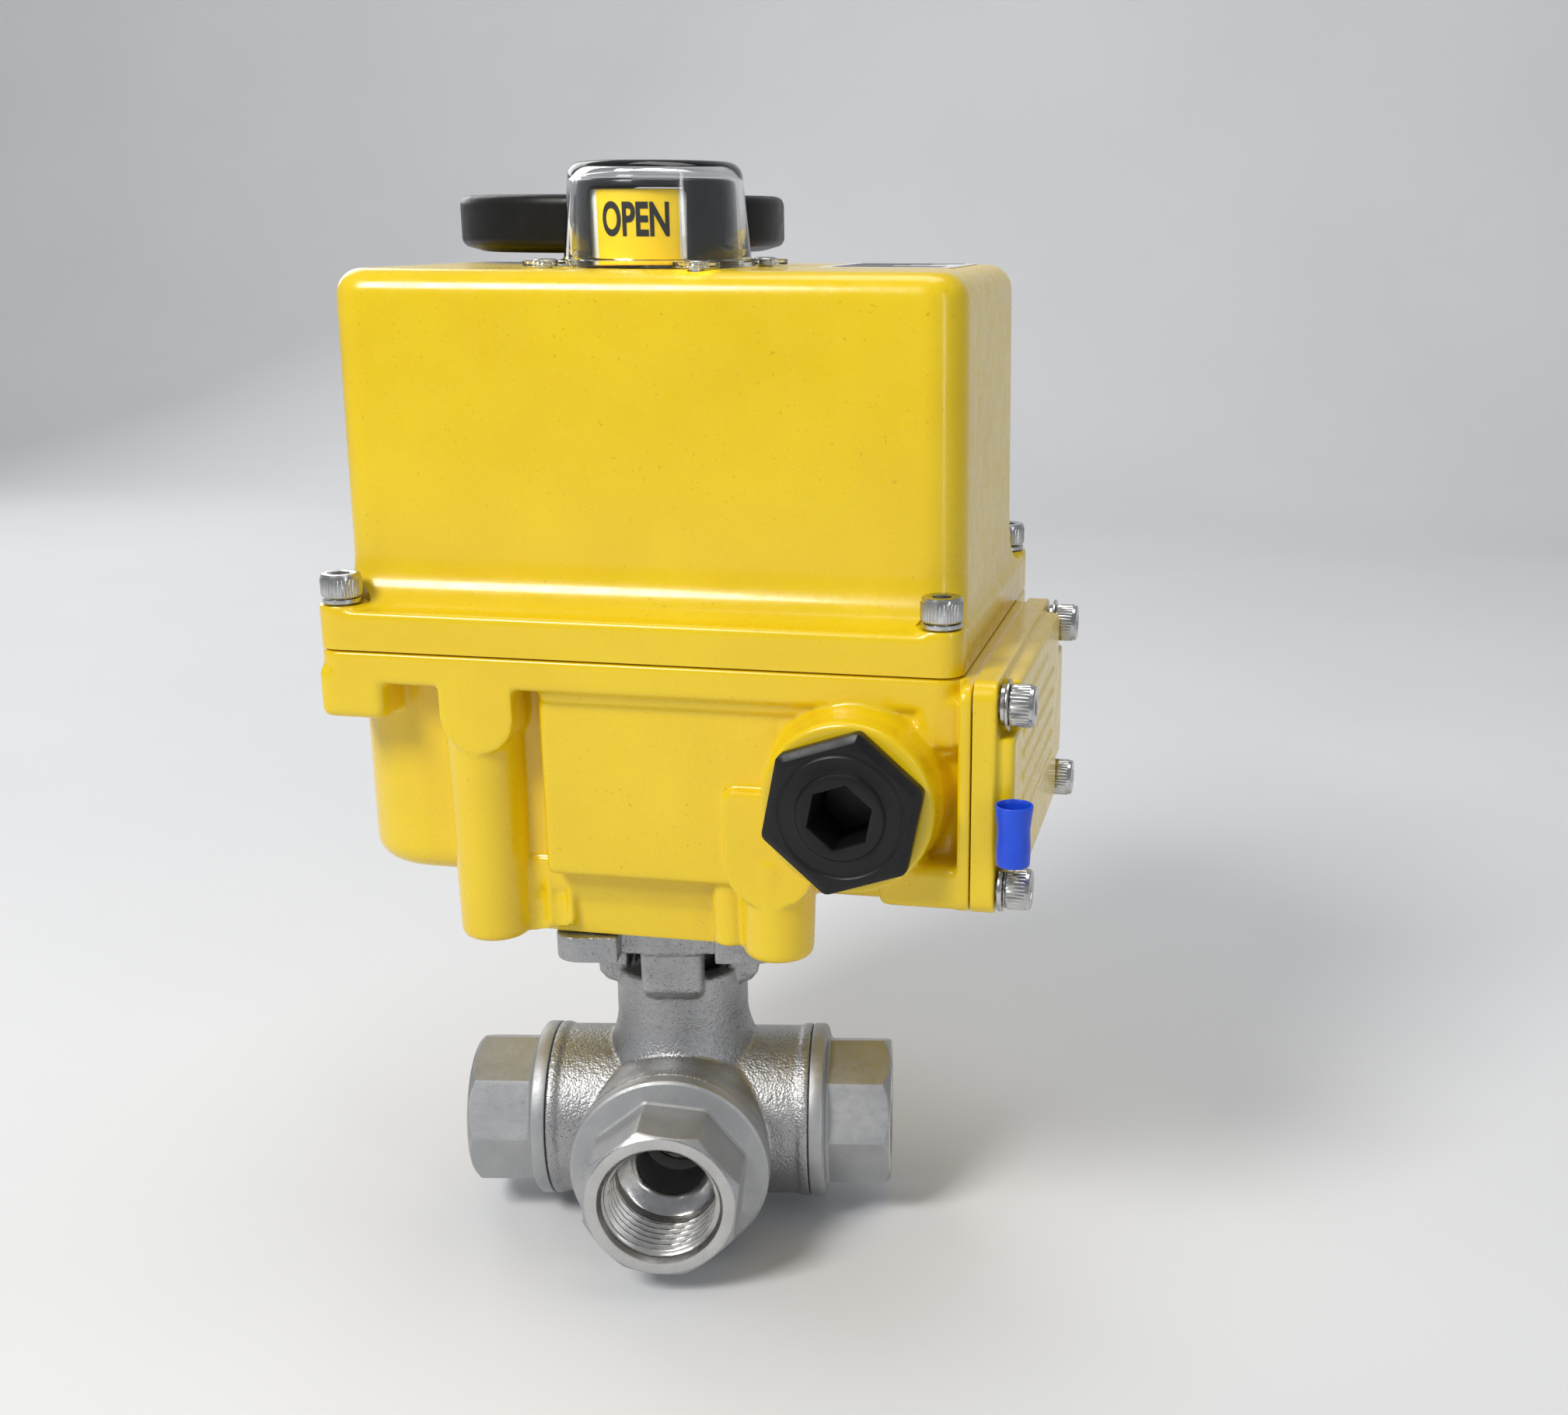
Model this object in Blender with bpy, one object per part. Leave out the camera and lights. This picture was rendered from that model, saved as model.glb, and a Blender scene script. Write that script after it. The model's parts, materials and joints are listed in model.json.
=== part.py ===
"""Electric quarter-turn actuator on a three-way ball valve.

Origin: centre of the ball, where the port axes and the drive axis cross.
+Z runs up the drive axis, -Y is the actuator's front and +X its terminal cover.
"""
import math

import bmesh
import bpy
from mathutils import Matrix, Vector

MM = 0.001
GAP = 0.3 * MM

# ---- driving dimensions: casing -------------------------------------------------------------
CASE_X = 2.0 * MM                 # centre of the casing, right of the drive axis
FLANGE_HALF_X = 56.0 * MM
FLANGE_FRONT = -30.0 * MM
FLANGE_REAR = 54.5 * MM
FLANGE_CORNER = 4.0 * MM
SEAM_Z = 95.6 * MM                # top face of the base housing
FLANGE_TOP_Z = 102.7 * MM
SCREW_SEAT_Z = 103.2 * MM
BASE_FLANGE_Z = 90.2 * MM
COVER_TOP_Z = 158.3 * MM
COVER_HALF_X = 54.0 * MM
COVER_FRONT = -20.2 * MM
COVER_REAR = 42.0 * MM
COVER_CORNER = 6.5 * MM
COVER_EDGE = 4.4 * MM
COVER_WALL = 3.0 * MM
COVER_DRAFT = 0.5 * MM            # how much wider the cover's foot is on each side
SCREW_HALF_X = 52.0 * MM
SCREW_FRONT = -26.0 * MM
SCREW_REAR = 50.5 * MM
CAVITY_LEFT = -48.5 * MM
CAVITY_RIGHT = 52.5 * MM
CAVITY_FRONT = -16.8 * MM
CAVITY_REAR = 38.8 * MM
CHAMBER_FRONT = -22.0 * MM
CHAMBER_REAR = 46.0 * MM
CHAMBER_LEFT = -53.8 * MM
CHAMBER_RIGHT = 57.0 * MM
CHAMBER_Z = 53.5 * MM
FLOOR_Z = 57.0 * MM
HUB_Z = 43.6 * MM                 # face that sits on the valve's pad
BOSS_X = 26.1 * MM
BOSS_SHIFT = -0.8 * MM
BOSS_Y = 23.0 * MM
PANEL_FRONT = -27.0 * MM
CONDUIT = Vector((40.7 * MM, -38.5 * MM, 75.6 * MM))
CONDUIT_R = 14.5 * MM
FRAME_X = 60.1 * MM               # face that the terminal cover closes
FRAME_FRONT = -33.8 * MM
FRAME_REAR = 39.9 * MM
FRAME_LOW = 57.0 * MM
TERMINAL_SCREWS = [(y * MM, z * MM) for y in (-29.6, 35.7) for z in (61.0, 92.0)]
TERMINAL_WINDOW = (-24.0 * MM, 30.0 * MM, 64.5 * MM, 88.0 * MM)

# ---- driving dimensions: top ----------------------------------------------------------------
DOME_R = 15.9 * MM
DOME_TOP_R = 14.7 * MM
DOME_TOP_Z = 175.4 * MM
EAR_RING = 19.6 * MM
EAR_TURN = math.radians(36.0)
WHEEL = Vector((-21.0 * MM, 44.0 * MM, 0.0))
WHEEL_R = 31.0 * MM
TOWER_R = 12.5 * MM
SHAFT_BORE_R = 7.0 * MM

# ---- driving dimensions: gear train ---------------------------------------------------------
OUTPUT_MODULE = 1.0 * MM
MID_MODULE = 0.8 * MM
FAST_MODULE = 0.6 * MM
OUTPUT_TEETH = 40
SECOND_SMALL = 12
SECOND_LARGE = 44
MANUAL_TEETH = 16
FIRST_SMALL = 12
FIRST_LARGE = 40
MOTOR_TEETH = 12
ADDENDUM = 0.75
DEDENDUM = 1.25
BACKLASH = 0.14                   # of a module, taken off each tooth
PRESSURE_ANGLE = math.radians(20.0)
OUTPUT_GEAR_Z = (60.0 * MM, 67.0 * MM)
SECOND_LARGE_Z = (72.0 * MM, 75.0 * MM)
FIRST_LARGE_Z = (78.0 * MM, 80.5 * MM)
PLATE_Z = (84.5 * MM, 86.5 * MM)

# ---- driving dimensions: valve --------------------------------------------------------------
VALVE_TURN = math.radians(10.0)   # the valve sits turned on the actuator
PORT_REACH = 40.0 * MM
FRONT_REACH = 38.5 * MM
OCTAGON_AF = 27.0 * MM
MOUTH_R = 10.8 * MM
BORE_R = 6.2 * MM
BALL_R = 11.0 * MM
CAVITY_R = 11.7 * MM
RUN_R = 16.2 * MM
SIDE_COLLAR_R = 16.6 * MM
FRONT_COLLAR_R = 18.3 * MM
JOINT_D = 24.7 * MM               # where a side cap meets the body, from the ball's centre
FRONT_JOINT_D = 23.2 * MM
COLLAR_WIDTH = 3.0 * MM
NECK_R = 12.5 * MM
NECK_TOP = 31.7 * MM
PAD_Z = (38.4 * MM, 43.3 * MM)
PAD_HALF = 20.3 * MM
PAD_NOTCH = 8.7 * MM
PAD_SCREW = 14.85 * MM
PAD_SEAT_Z = 52.3 * MM            # the pad screws' heads sit in the housing's floor
PAD_BOSS_R = 5.7 * MM
STEM_R = 4.0 * MM
SQUARE_AF = 9.0 * MM

TAU = 2.0 * math.pi


# ---- scene and materials --------------------------------------------------------------------
def clear_scene():
    for item in list(bpy.data.objects):
        bpy.data.objects.remove(item, do_unlink=True)


def make_material(name, colour, roughness, metallic=0.0, alpha=1.0):
    material = bpy.data.materials.new(name)
    material.use_nodes = True
    shader = material.node_tree.nodes["Principled BSDF"]
    shader.inputs["Base Color"].default_value = (*colour, 1.0)
    shader.inputs["Roughness"].default_value = roughness
    shader.inputs["Metallic"].default_value = metallic
    shader.inputs["Alpha"].default_value = alpha
    return material


FINISHES = {
    "yellow": ((0.86, 0.60, 0.02), 0.35, 0.0, 1.0),
    "black_plastic": ((0.02, 0.02, 0.022), 0.45, 0.0, 1.0),
    "rubber": ((0.03, 0.03, 0.03), 0.8, 0.0, 1.0),
    "stainless": ((0.62, 0.61, 0.60), 0.3, 1.0, 1.0),
    "cast_stainless": ((0.50, 0.50, 0.49), 0.45, 1.0, 1.0),
    "clear": ((0.9, 0.95, 0.97), 0.05, 0.0, 0.3),
    "blue_vinyl": ((0.02, 0.10, 0.70), 0.4, 0.0, 1.0),
    "tin": ((0.72, 0.72, 0.70), 0.3, 1.0, 1.0),
    "steel": ((0.45, 0.45, 0.46), 0.35, 1.0, 1.0),
    "brass": ((0.72, 0.52, 0.20), 0.35, 1.0, 1.0),
    "white_plastic": ((0.85, 0.85, 0.82), 0.4, 0.0, 1.0),
    "circuit_green": ((0.02, 0.22, 0.08), 0.5, 0.0, 1.0),
    "ptfe": ((0.9, 0.9, 0.88), 0.5, 0.0, 1.0),
}


# ---- mesh helpers ---------------------------------------------------------------------------
def make_object(name, bm, finish=None, parent=None, origin=(0.0, 0.0, 0.0)):
    """Turn a bmesh into a named object with its own material; origin is its joint or seat."""
    bmesh.ops.recalc_face_normals(bm, faces=bm.faces)
    mesh = bpy.data.meshes.new(name)
    bm.to_mesh(mesh)
    bm.free()
    mesh.shade_smooth()
    mesh.set_sharp_from_angle(angle=math.radians(32.0))
    item = bpy.data.objects.new(name, mesh)
    bpy.context.scene.collection.objects.link(item)
    item.location = origin
    if parent is not None:
        item.parent = parent
    if finish is None:
        item.hide_render = True
        item.display_type = "WIRE"
    else:
        mesh.materials.append(make_material(name, *FINISHES[finish]))
    return item


def cut(target, cutter, operation="DIFFERENCE"):
    modifier = target.modifiers.new(cutter.name, "BOOLEAN")
    modifier.operation = operation
    modifier.solver = "EXACT"
    modifier.object = cutter
    return modifier


def fuse(target, addition):
    return cut(target, addition, "UNION")


def loft(loops, closed=False):
    """Skin a list of equally long point loops; capped at both ends unless closed."""
    bm = bmesh.new()
    rings = [[bm.verts.new(point) for point in loop] for loop in loops]
    count = len(rings[0])
    pairs = list(zip(rings, rings[1:]))
    if closed:
        pairs.append((rings[-1], rings[0]))
    for lower, upper in pairs:
        for i in range(count):
            j = (i + 1) % count
            bm.faces.new((lower[i], lower[j], upper[j], upper[i]))
    if not closed:
        bm.faces.new(rings[0])
        bm.faces.new(rings[-1])
    return bm


def ring(radius, z, segments, centre=(0.0, 0.0), turn=0.0):
    return [
        (
            centre[0] + radius * math.cos(turn + TAU * i / segments),
            centre[1] + radius * math.sin(turn + TAU * i / segments),
            z,
        )
        for i in range(segments)
    ]


def polygon_ring(sides, flat_radius, z, segments, limit=1.0, turn=0.0):
    """Points round a regular polygon, rounded off where it passes the limit radius."""
    points = []
    for i in range(segments):
        angle = TAU * i / segments
        within = (angle % (TAU / sides)) - math.pi / sides
        radius = min(flat_radius / math.cos(within), limit)
        points.append((radius * math.cos(angle + turn), radius * math.sin(angle + turn), z))
    return points


def turned(profile, segments=24, centre=(0.0, 0.0)):
    """Closed solid from a closed (radius, z) outline turned round Z."""
    bm = bmesh.new()
    rings = []
    for radius, z in profile:
        if radius == 0.0:
            rings.append([bm.verts.new((centre[0], centre[1], z))])
        else:
            rings.append([bm.verts.new(point) for point in ring(radius, z, segments, centre)])
    for lower, upper in zip(rings, rings[1:] + rings[:1]):
        for i in range(segments):
            j = (i + 1) % segments
            if len(lower) > 1 and len(upper) > 1:
                bm.faces.new((lower[i], lower[j], upper[j], upper[i]))
            elif len(upper) > 1:
                bm.faces.new((lower[0], upper[j], upper[i]))
            elif len(lower) > 1:
                bm.faces.new((lower[i], lower[j], upper[0]))
    return bm


def cylinder(radius, z0, z1, segments=24, centre=(0.0, 0.0)):
    return loft([ring(radius, z0, segments, centre), ring(radius, z1, segments, centre)])


def rounded_rect(x0, x1, y0, y1, radius, z, steps=3):
    points = []
    corners = ((x1 - radius, y1 - radius), (x0 + radius, y1 - radius),
               (x0 + radius, y0 + radius), (x1 - radius, y0 + radius))
    for quarter, (cx, cy) in enumerate(corners):
        for i in range(steps + 1):
            angle = math.pi / 2.0 * (quarter + i / steps)
            points.append((cx + radius * math.cos(angle), cy + radius * math.sin(angle), z))
    return points


def block(x0, x1, y0, y1, z0, z1, round_edges=0.0, segments=2):
    bm = bmesh.new()
    bmesh.ops.create_cube(bm, size=1.0)
    size = Matrix.Diagonal((x1 - x0, y1 - y0, z1 - z0, 1.0))
    middle = Matrix.Translation(((x0 + x1) / 2.0, (y0 + y1) / 2.0, (z0 + z1) / 2.0))
    bm.transform(middle @ size)
    if round_edges:
        bmesh.ops.bevel(bm, geom=list(bm.edges), offset=round_edges, segments=segments,
                        profile=0.5, affect="EDGES")
    return bm


def aim(bm, direction, at=(0.0, 0.0, 0.0)):
    """Turn a bmesh built along +Z to point along direction, then move it."""
    turn = Vector((0.0, 0.0, 1.0)).rotation_difference(Vector(direction)).to_matrix().to_4x4()
    bm.transform(Matrix.Translation(at) @ turn)
    return bm


def along_y(outline, y0, y1):
    """Prism through Y from an (x, z) outline."""
    return loft([[(x, y0, z) for x, z in outline], [(x, y1, z) for x, z in outline]])


# ---- fasteners ------------------------------------------------------------------------------
SCREW_SIDES = 12


def socket_screw(name, head_r, head_h, shank_r, shank_l, key_af, finish="stainless"):
    """Socket-head screw along Z: its head sits on z = 0 and its shank hangs below."""
    s = SCREW_SIDES
    edge = 0.16 * head_r
    loops = [
        ring(shank_r, -shank_l, s),
        ring(shank_r, 0.0, s),
        ring(head_r, 0.0, s),
        ring(head_r, head_h - edge, s),
        ring(head_r - edge, head_h, s),
        polygon_ring(6, key_af / 2.0, head_h, s),
        polygon_ring(6, key_af / 2.0, head_h * 0.45, s),
    ]
    return loft(loops)


def place_screw(name, bm, at, direction, finish="stainless"):
    item = make_object(name, bm, finish, origin=at)
    item.rotation_mode = "QUATERNION"
    item.rotation_quaternion = Vector((0.0, 0.0, 1.0)).rotation_difference(Vector(direction))
    return item


# ---- gears ----------------------------------------------------------------------------------
def involute(angle):
    return math.tan(angle) - angle


def gear_ring(teeth, module, z, phase):
    """Outline of a stub-tooth gear whose straight flanks join involute root and tip widths."""
    pitch_r = module * teeth / 2.0
    base_r = pitch_r * math.cos(PRESSURE_ANGLE)
    tip_r = pitch_r + ADDENDUM * module
    root_r = pitch_r - DEDENDUM * module
    half = math.pi / (2.0 * teeth) - BACKLASH * module / (2.0 * pitch_r)

    def half_width(radius):
        flank = math.acos(min(1.0, base_r / radius))
        return half + involute(PRESSURE_ANGLE) - involute(flank)

    points = []
    for tooth in range(teeth):
        middle = phase + TAU * tooth / teeth
        for radius, side in ((root_r, -1), (tip_r, -1), (tip_r, 1), (root_r, 1)):
            width = half_width(max(radius, base_r))
            angle = middle + side * width
            points.append((radius * math.cos(angle), radius * math.sin(angle), z))
    return points


def meshed_phase(phase, teeth, other_teeth, direction):
    """Phase of a gear whose gaps meet the teeth of one at the given phase, along direction."""
    pitch = TAU / teeth
    lead = (direction - phase) % pitch
    return direction + math.pi + math.pi / other_teeth + lead * teeth / other_teeth


def gear_wheel(teeth, module, z0, z1, phase):
    return loft([gear_ring(teeth, module, z0, phase), gear_ring(teeth, module, z1, phase)])


def circle_meeting(centre_a, radius_a, centre_b, radius_b, side):
    """Point at the two given distances from two centres, left or right of the line between."""
    span = centre_b - centre_a
    distance = span.length
    along = (radius_a ** 2 - radius_b ** 2 + distance ** 2) / (2.0 * distance)
    off = math.sqrt(radius_a ** 2 - along ** 2)
    unit = span / distance
    return centre_a + unit * along + Vector((-unit.y, unit.x)) * off * side


DRIVE = Vector((0.0, 0.0))
MANUAL = Vector((WHEEL.x, WHEEL.y))
OUTPUT_CENTRES = OUTPUT_MODULE * (OUTPUT_TEETH + SECOND_SMALL) / 2.0
MANUAL_CENTRES = MID_MODULE * (SECOND_LARGE + MANUAL_TEETH) / 2.0
FIRST_CENTRES = MID_MODULE * (SECOND_LARGE + FIRST_SMALL) / 2.0
MOTOR_CENTRES = FAST_MODULE * (FIRST_LARGE + MOTOR_TEETH) / 2.0
SECOND = circle_meeting(DRIVE, OUTPUT_CENTRES, MANUAL, MANUAL_CENTRES, 1.0)
FIRST_DIRECTION = math.radians(215.0)
FIRST = SECOND + FIRST_CENTRES * Vector((math.cos(FIRST_DIRECTION), math.sin(FIRST_DIRECTION)))
MOTOR_DIRECTION = math.radians(80.0)
MOTOR = FIRST + MOTOR_CENTRES * Vector((math.cos(MOTOR_DIRECTION), math.sin(MOTOR_DIRECTION)))
PIN_R = 2.0 * MM


def heading(start, end):
    return math.atan2(end.y - start.y, end.x - start.x)


# ---- casing ---------------------------------------------------------------------------------
def flange_x():
    return CASE_X - FLANGE_HALF_X, CASE_X + FLANGE_HALF_X


def corner_screw_places():
    return [(CASE_X + side * SCREW_HALF_X, y) for y in (SCREW_FRONT, SCREW_REAR) for side in (-1, 1)]


def base_housing():
    x0, x1 = flange_x()
    base = make_object("base_housing", loft([
        rounded_rect(x0 + 0.6 * MM, x1 - 0.6 * MM, FLANGE_FRONT + 0.6 * MM, FLANGE_REAR - 0.6 * MM,
                     FLANGE_CORNER, BASE_FLANGE_Z),
        rounded_rect(x0, x1, FLANGE_FRONT, FLANGE_REAR, FLANGE_CORNER, BASE_FLANGE_Z + 0.8 * MM),
        rounded_rect(x0, x1, FLANGE_FRONT, FLANGE_REAR, FLANGE_CORNER, SEAM_Z),
    ]), "yellow")

    def outline(inset, z):
        return rounded_rect(CHAMBER_LEFT + inset, CHAMBER_RIGHT - inset, CHAMBER_FRONT + inset,
                            CHAMBER_REAR - inset, 12.0 * MM - 0.6 * inset, z)

    chamber = loft([outline(4.5 * MM, CHAMBER_Z), outline(1.4 * MM, CHAMBER_Z + 1.4 * MM),
                    outline(0.0, CHAMBER_Z + 4.5 * MM), outline(0.0, BASE_FLANGE_Z + 1.5 * MM)])
    additions = [("chamber", chamber)]
    low = 83.7 * MM
    lug_rows = ((x0, x0 + 12.0 * MM, FLANGE_FRONT, -19.0 * MM), (x1 - 7.6 * MM, x1, FLANGE_FRONT, -19.0 * MM),
                (x0, x0 + 10.0 * MM, 42.0 * MM, FLANGE_REAR), (x1 - 10.0 * MM, x1, 42.0 * MM, FLANGE_REAR))
    for index, (left, right, front, rear) in enumerate(lug_rows):
        additions.append((f"lug_{index}", block(left + 0.05 * MM, right - 0.05 * MM, front + 0.05 * MM,
                                                rear - 0.05 * MM, low, 93.0 * MM, 1.2 * MM, 1)))
    additions.append(("panel", block(-15.5 * MM, 27.0 * MM, PANEL_FRONT, -18.5 * MM, 56.0 * MM,
                                     92.0 * MM, 1.0 * MM)))
    additions.append(("hub", loft([
        rounded_rect(-25.0 * MM, 24.0 * MM, -19.0 * MM, 19.0 * MM, 9.0 * MM, HUB_Z),
        rounded_rect(-26.5 * MM, 25.0 * MM, -19.8 * MM, 20.0 * MM, 9.0 * MM, 58.0 * MM)])))
    for index, (side, row) in enumerate(((-1, -1), (1, -1), (-1, 1), (1, 1))):
        centre = (BOSS_SHIFT + side * BOSS_X, row * BOSS_Y)
        top = (60.0 if row > 0 else 91.0 if side < 0 else 75.0) * MM
        additions.append((f"boss_{index}", loft([
            ring(5.2 * MM, HUB_Z, 16, centre), ring(6.1 * MM, HUB_Z + 0.9 * MM, 16, centre),
            ring(6.8 * MM, top, 16, centre)])))
    tongue = [(-18.8 * MM, 92.5 * MM), (-32.0 * MM, 92.5 * MM)]
    tongue += [(-25.4 * MM - 6.6 * MM * math.cos(math.pi * i / 8), 85.2 * MM - 6.6 * MM * math.sin(math.pi * i / 8))
               for i in range(9)]
    additions.append(("tongue", along_y(tongue, FLANGE_FRONT + 0.08 * MM, -20.0 * MM)))
    additions.append(("web", block(-27.0 * MM, -13.0 * MM, -21.4 * MM, -15.0 * MM, 43.9 * MM, 58.0 * MM, 0.8 * MM, 1)))
    additions.append(("rib", cylinder(3.2 * MM, 45.0 * MM, 70.0 * MM, 12, (16.6 * MM, -22.6 * MM))))
    conduit = loft([ring(CONDUIT_R, 0.0, 26), ring(CONDUIT_R, 19.0 * MM, 26),
                    ring(CONDUIT_R - 1.0 * MM, 20.0 * MM, 26)])
    additions.append(("conduit_boss", aim(conduit, (0, -1, 0), (CONDUIT.x, CONDUIT.y + 20.0 * MM, CONDUIT.z))))
    additions.append(("terminal_box", block(44.0 * MM, 58.5 * MM, -26.6 * MM, 39.0 * MM, 57.8 * MM,
                                            92.4 * MM, 1.5 * MM)))
    frame = rounded_rect(FRAME_FRONT, FRAME_REAR, FRAME_LOW, SEAM_Z - 0.02 * MM, 3.0 * MM, 0.0)
    additions.append(("frame", loft([[(x, y, z) for y, z, _ in frame] for x in (58.0 * MM, FRAME_X)])))
    additions.append(("screw_boss", block(44.8 * MM, 59.0 * MM, -33.4 * MM, -24.0 * MM, 57.4 * MM, 65.0 * MM, 1.5 * MM, 1)))
    additions.append(("tower", cylinder(TOWER_R, 60.0 * MM, SEAM_Z - 0.01 * MM, 22, (WHEEL.x, WHEEL.y))))
    for index, spot in enumerate(pad_screw_places()):
        additions.append((f"pad_boss_{index}", cylinder(PAD_BOSS_R, HUB_Z + 0.03 * MM, 57.5 * MM, 16, spot)))
    for name, bm in additions:
        fuse(base, make_object(f"base_{name}", bm))

    cavity = loft([
        rounded_rect(CAVITY_LEFT, CAVITY_RIGHT, CAVITY_FRONT, CAVITY_REAR + 4.0 * MM, 8.0 * MM, FLOOR_Z),
        rounded_rect(CAVITY_LEFT, CAVITY_RIGHT, CAVITY_FRONT, CAVITY_REAR + 4.0 * MM, 8.0 * MM, SEAM_Z + 2 * MM)])
    y0, y1, z0, z1 = TERMINAL_WINDOW
    window = rounded_rect(y0, y1, z0, z1, 3.0 * MM, 0.0, 3)
    cuts = [
        ("cavity", cavity),
        ("gear_pocket", cylinder(22.2 * MM, FLOOR_Z + 0.6 * MM, 78.0 * MM, 32)),
        ("manual_pocket", cylinder(8.4 * MM, FLOOR_Z + 8.0 * MM, SEAM_Z + 3 * MM, 18, (WHEEL.x, WHEEL.y))),
        ("terminal_window", loft([[(x, y, z) for y, z, _ in window] for x in (48.0 * MM, FRAME_X + 2 * MM)])),
        ("conduit_hole", aim(cylinder(9.6 * MM, 0.0, 26.0 * MM, 22), (0, 1, 0),
                             (CONDUIT.x, CONDUIT.y - 1.0 * MM, CONDUIT.z))),
    ]
    for name, bm in cuts:
        cut(base, make_object(f"cut_base_{name}", bm))

    for index, (x, y) in enumerate(((-43.5, -12.5), (30.0, -12.5), (30.0, 36.0), (-43.5, 36.0))):
        pillar = cylinder(3.5 * MM, FLOOR_Z - 1.5 * MM, PLATE_Z[0] - GAP, 8, (x * MM, y * MM))
        fuse(base, make_object(f"base_pillar_{index}", pillar))
    foot = cylinder(6.0 * MM, FLOOR_Z - 1.5 * MM, FLOOR_Z + 11.0 * MM, 16, (WHEEL.x, WHEEL.y))
    fuse(base, make_object("base_manual_foot", foot))

    holes = [("drive_bore", cylinder(9.4 * MM, HUB_Z - 2 * MM, HUB_Z + 6 * MM, 20)),
             ("bush_bore", cylinder(11.3 * MM, 47.0 * MM, FLOOR_Z + 2 * MM, 20)),
             ("manual_hole", cylinder(3.0 * MM + GAP, FLOOR_Z + 3 * MM, FLOOR_Z + 12 * MM, 16, (WHEEL.x, WHEEL.y)))]
    for index, spot in enumerate((FIRST, SECOND)):
        holes.append((f"pin_{index}", cylinder(PIN_R + GAP, FLOOR_Z - 2.2 * MM, FLOOR_Z + 2 * MM, 14, spot)))
    for index, (x, y) in enumerate(corner_screw_places()):
        holes.append((f"screw_{index}", cylinder(2.3 * MM, 86.0 * MM, SEAM_Z + 2 * MM, 10, (x, y))))
    for index, (y, z) in enumerate(TERMINAL_SCREWS):
        holes.append((f"side_screw_{index}", aim(cylinder(2.3 * MM, 0.0, 6.0 * MM, 10), (1, 0, 0),
                                                 (FRAME_X - 1.8 * MM, y, z))))
    for index, (x, y) in enumerate(pad_screw_places()):
        holes.append((f"pad_screw_{index}", cylinder(2.8 * MM, HUB_Z - 2 * MM, FLOOR_Z, 10, (x, y))))
        holes.append((f"pad_seat_{index}", cylinder(4.5 * MM, PAD_SEAT_Z, FLOOR_Z + 3 * MM, 14, (x, y))))
    for name, bm in holes:
        cut(base, make_object(f"cut_base_{name}", bm))

    groove_outer, groove_inner = gasket_outlines(1.1 * MM)
    groove = make_object("cut_groove", loft([groove_outer(SEAM_Z - 1.5 * MM), groove_outer(SEAM_Z + 1 * MM)]))
    island = make_object("cut_groove_island", loft([groove_inner(SEAM_Z - 3 * MM), groove_inner(SEAM_Z + 2 * MM)]))
    cut(groove, island)
    cut(base, groove)
    side_outer, side_inner = side_gasket_outlines(1.1 * MM)
    side_groove = make_object("cut_side_groove", loft([side_outer(FRAME_X - 1.5 * MM), side_outer(FRAME_X + 1 * MM)]))
    side_island = make_object("cut_side_island", loft([side_inner(FRAME_X - 3 * MM), side_inner(FRAME_X + 2 * MM)]))
    cut(side_groove, side_island)
    cut(base, side_groove)
    return base


def gasket_outlines(half_width):
    """Two outlines either side of the cover gasket's centre line, which bulges round the tower."""
    def build(offset):
        def at(z):
            points = []
            left, right = -51.2 * MM - offset, 55.2 * MM + offset
            front, rear = -20.3 * MM - offset, 46.0 * MM + offset
            radius = 7.0 * MM + offset
            bulge = 10.2 * MM + offset
            rise = rear - WHEEL.y
            spread = math.sqrt(bulge ** 2 - rise ** 2)
            start = math.atan2(rise, spread)
            for px, py, _ in rounded_rect(left, right, front, rear, radius, z)[:4]:
                points.append((px, py, z))
            for i in range(11):
                angle = start + (math.pi - 2 * start) * i / 10
                points.append((WHEEL.x + bulge * math.cos(angle), WHEEL.y + bulge * math.sin(angle), z))
            for px, py, _ in rounded_rect(left, right, front, rear, radius, z)[4:]:
                points.append((px, py, z))
            return points
        return at
    return build(half_width), build(-half_width)


def side_gasket_outlines(half_width):
    y0, y1, z0, z1 = TERMINAL_WINDOW

    def build(offset):
        def at(x):
            margin = 1.9 * MM + offset
            outline = rounded_rect(y0 - margin, y1 + margin, z0 - margin, z1 + margin, 3.0 * MM + offset, 0.0, 3)
            return [(x, y, z) for y, z, _ in outline]
        return at
    return build(half_width), build(-half_width)


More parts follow.
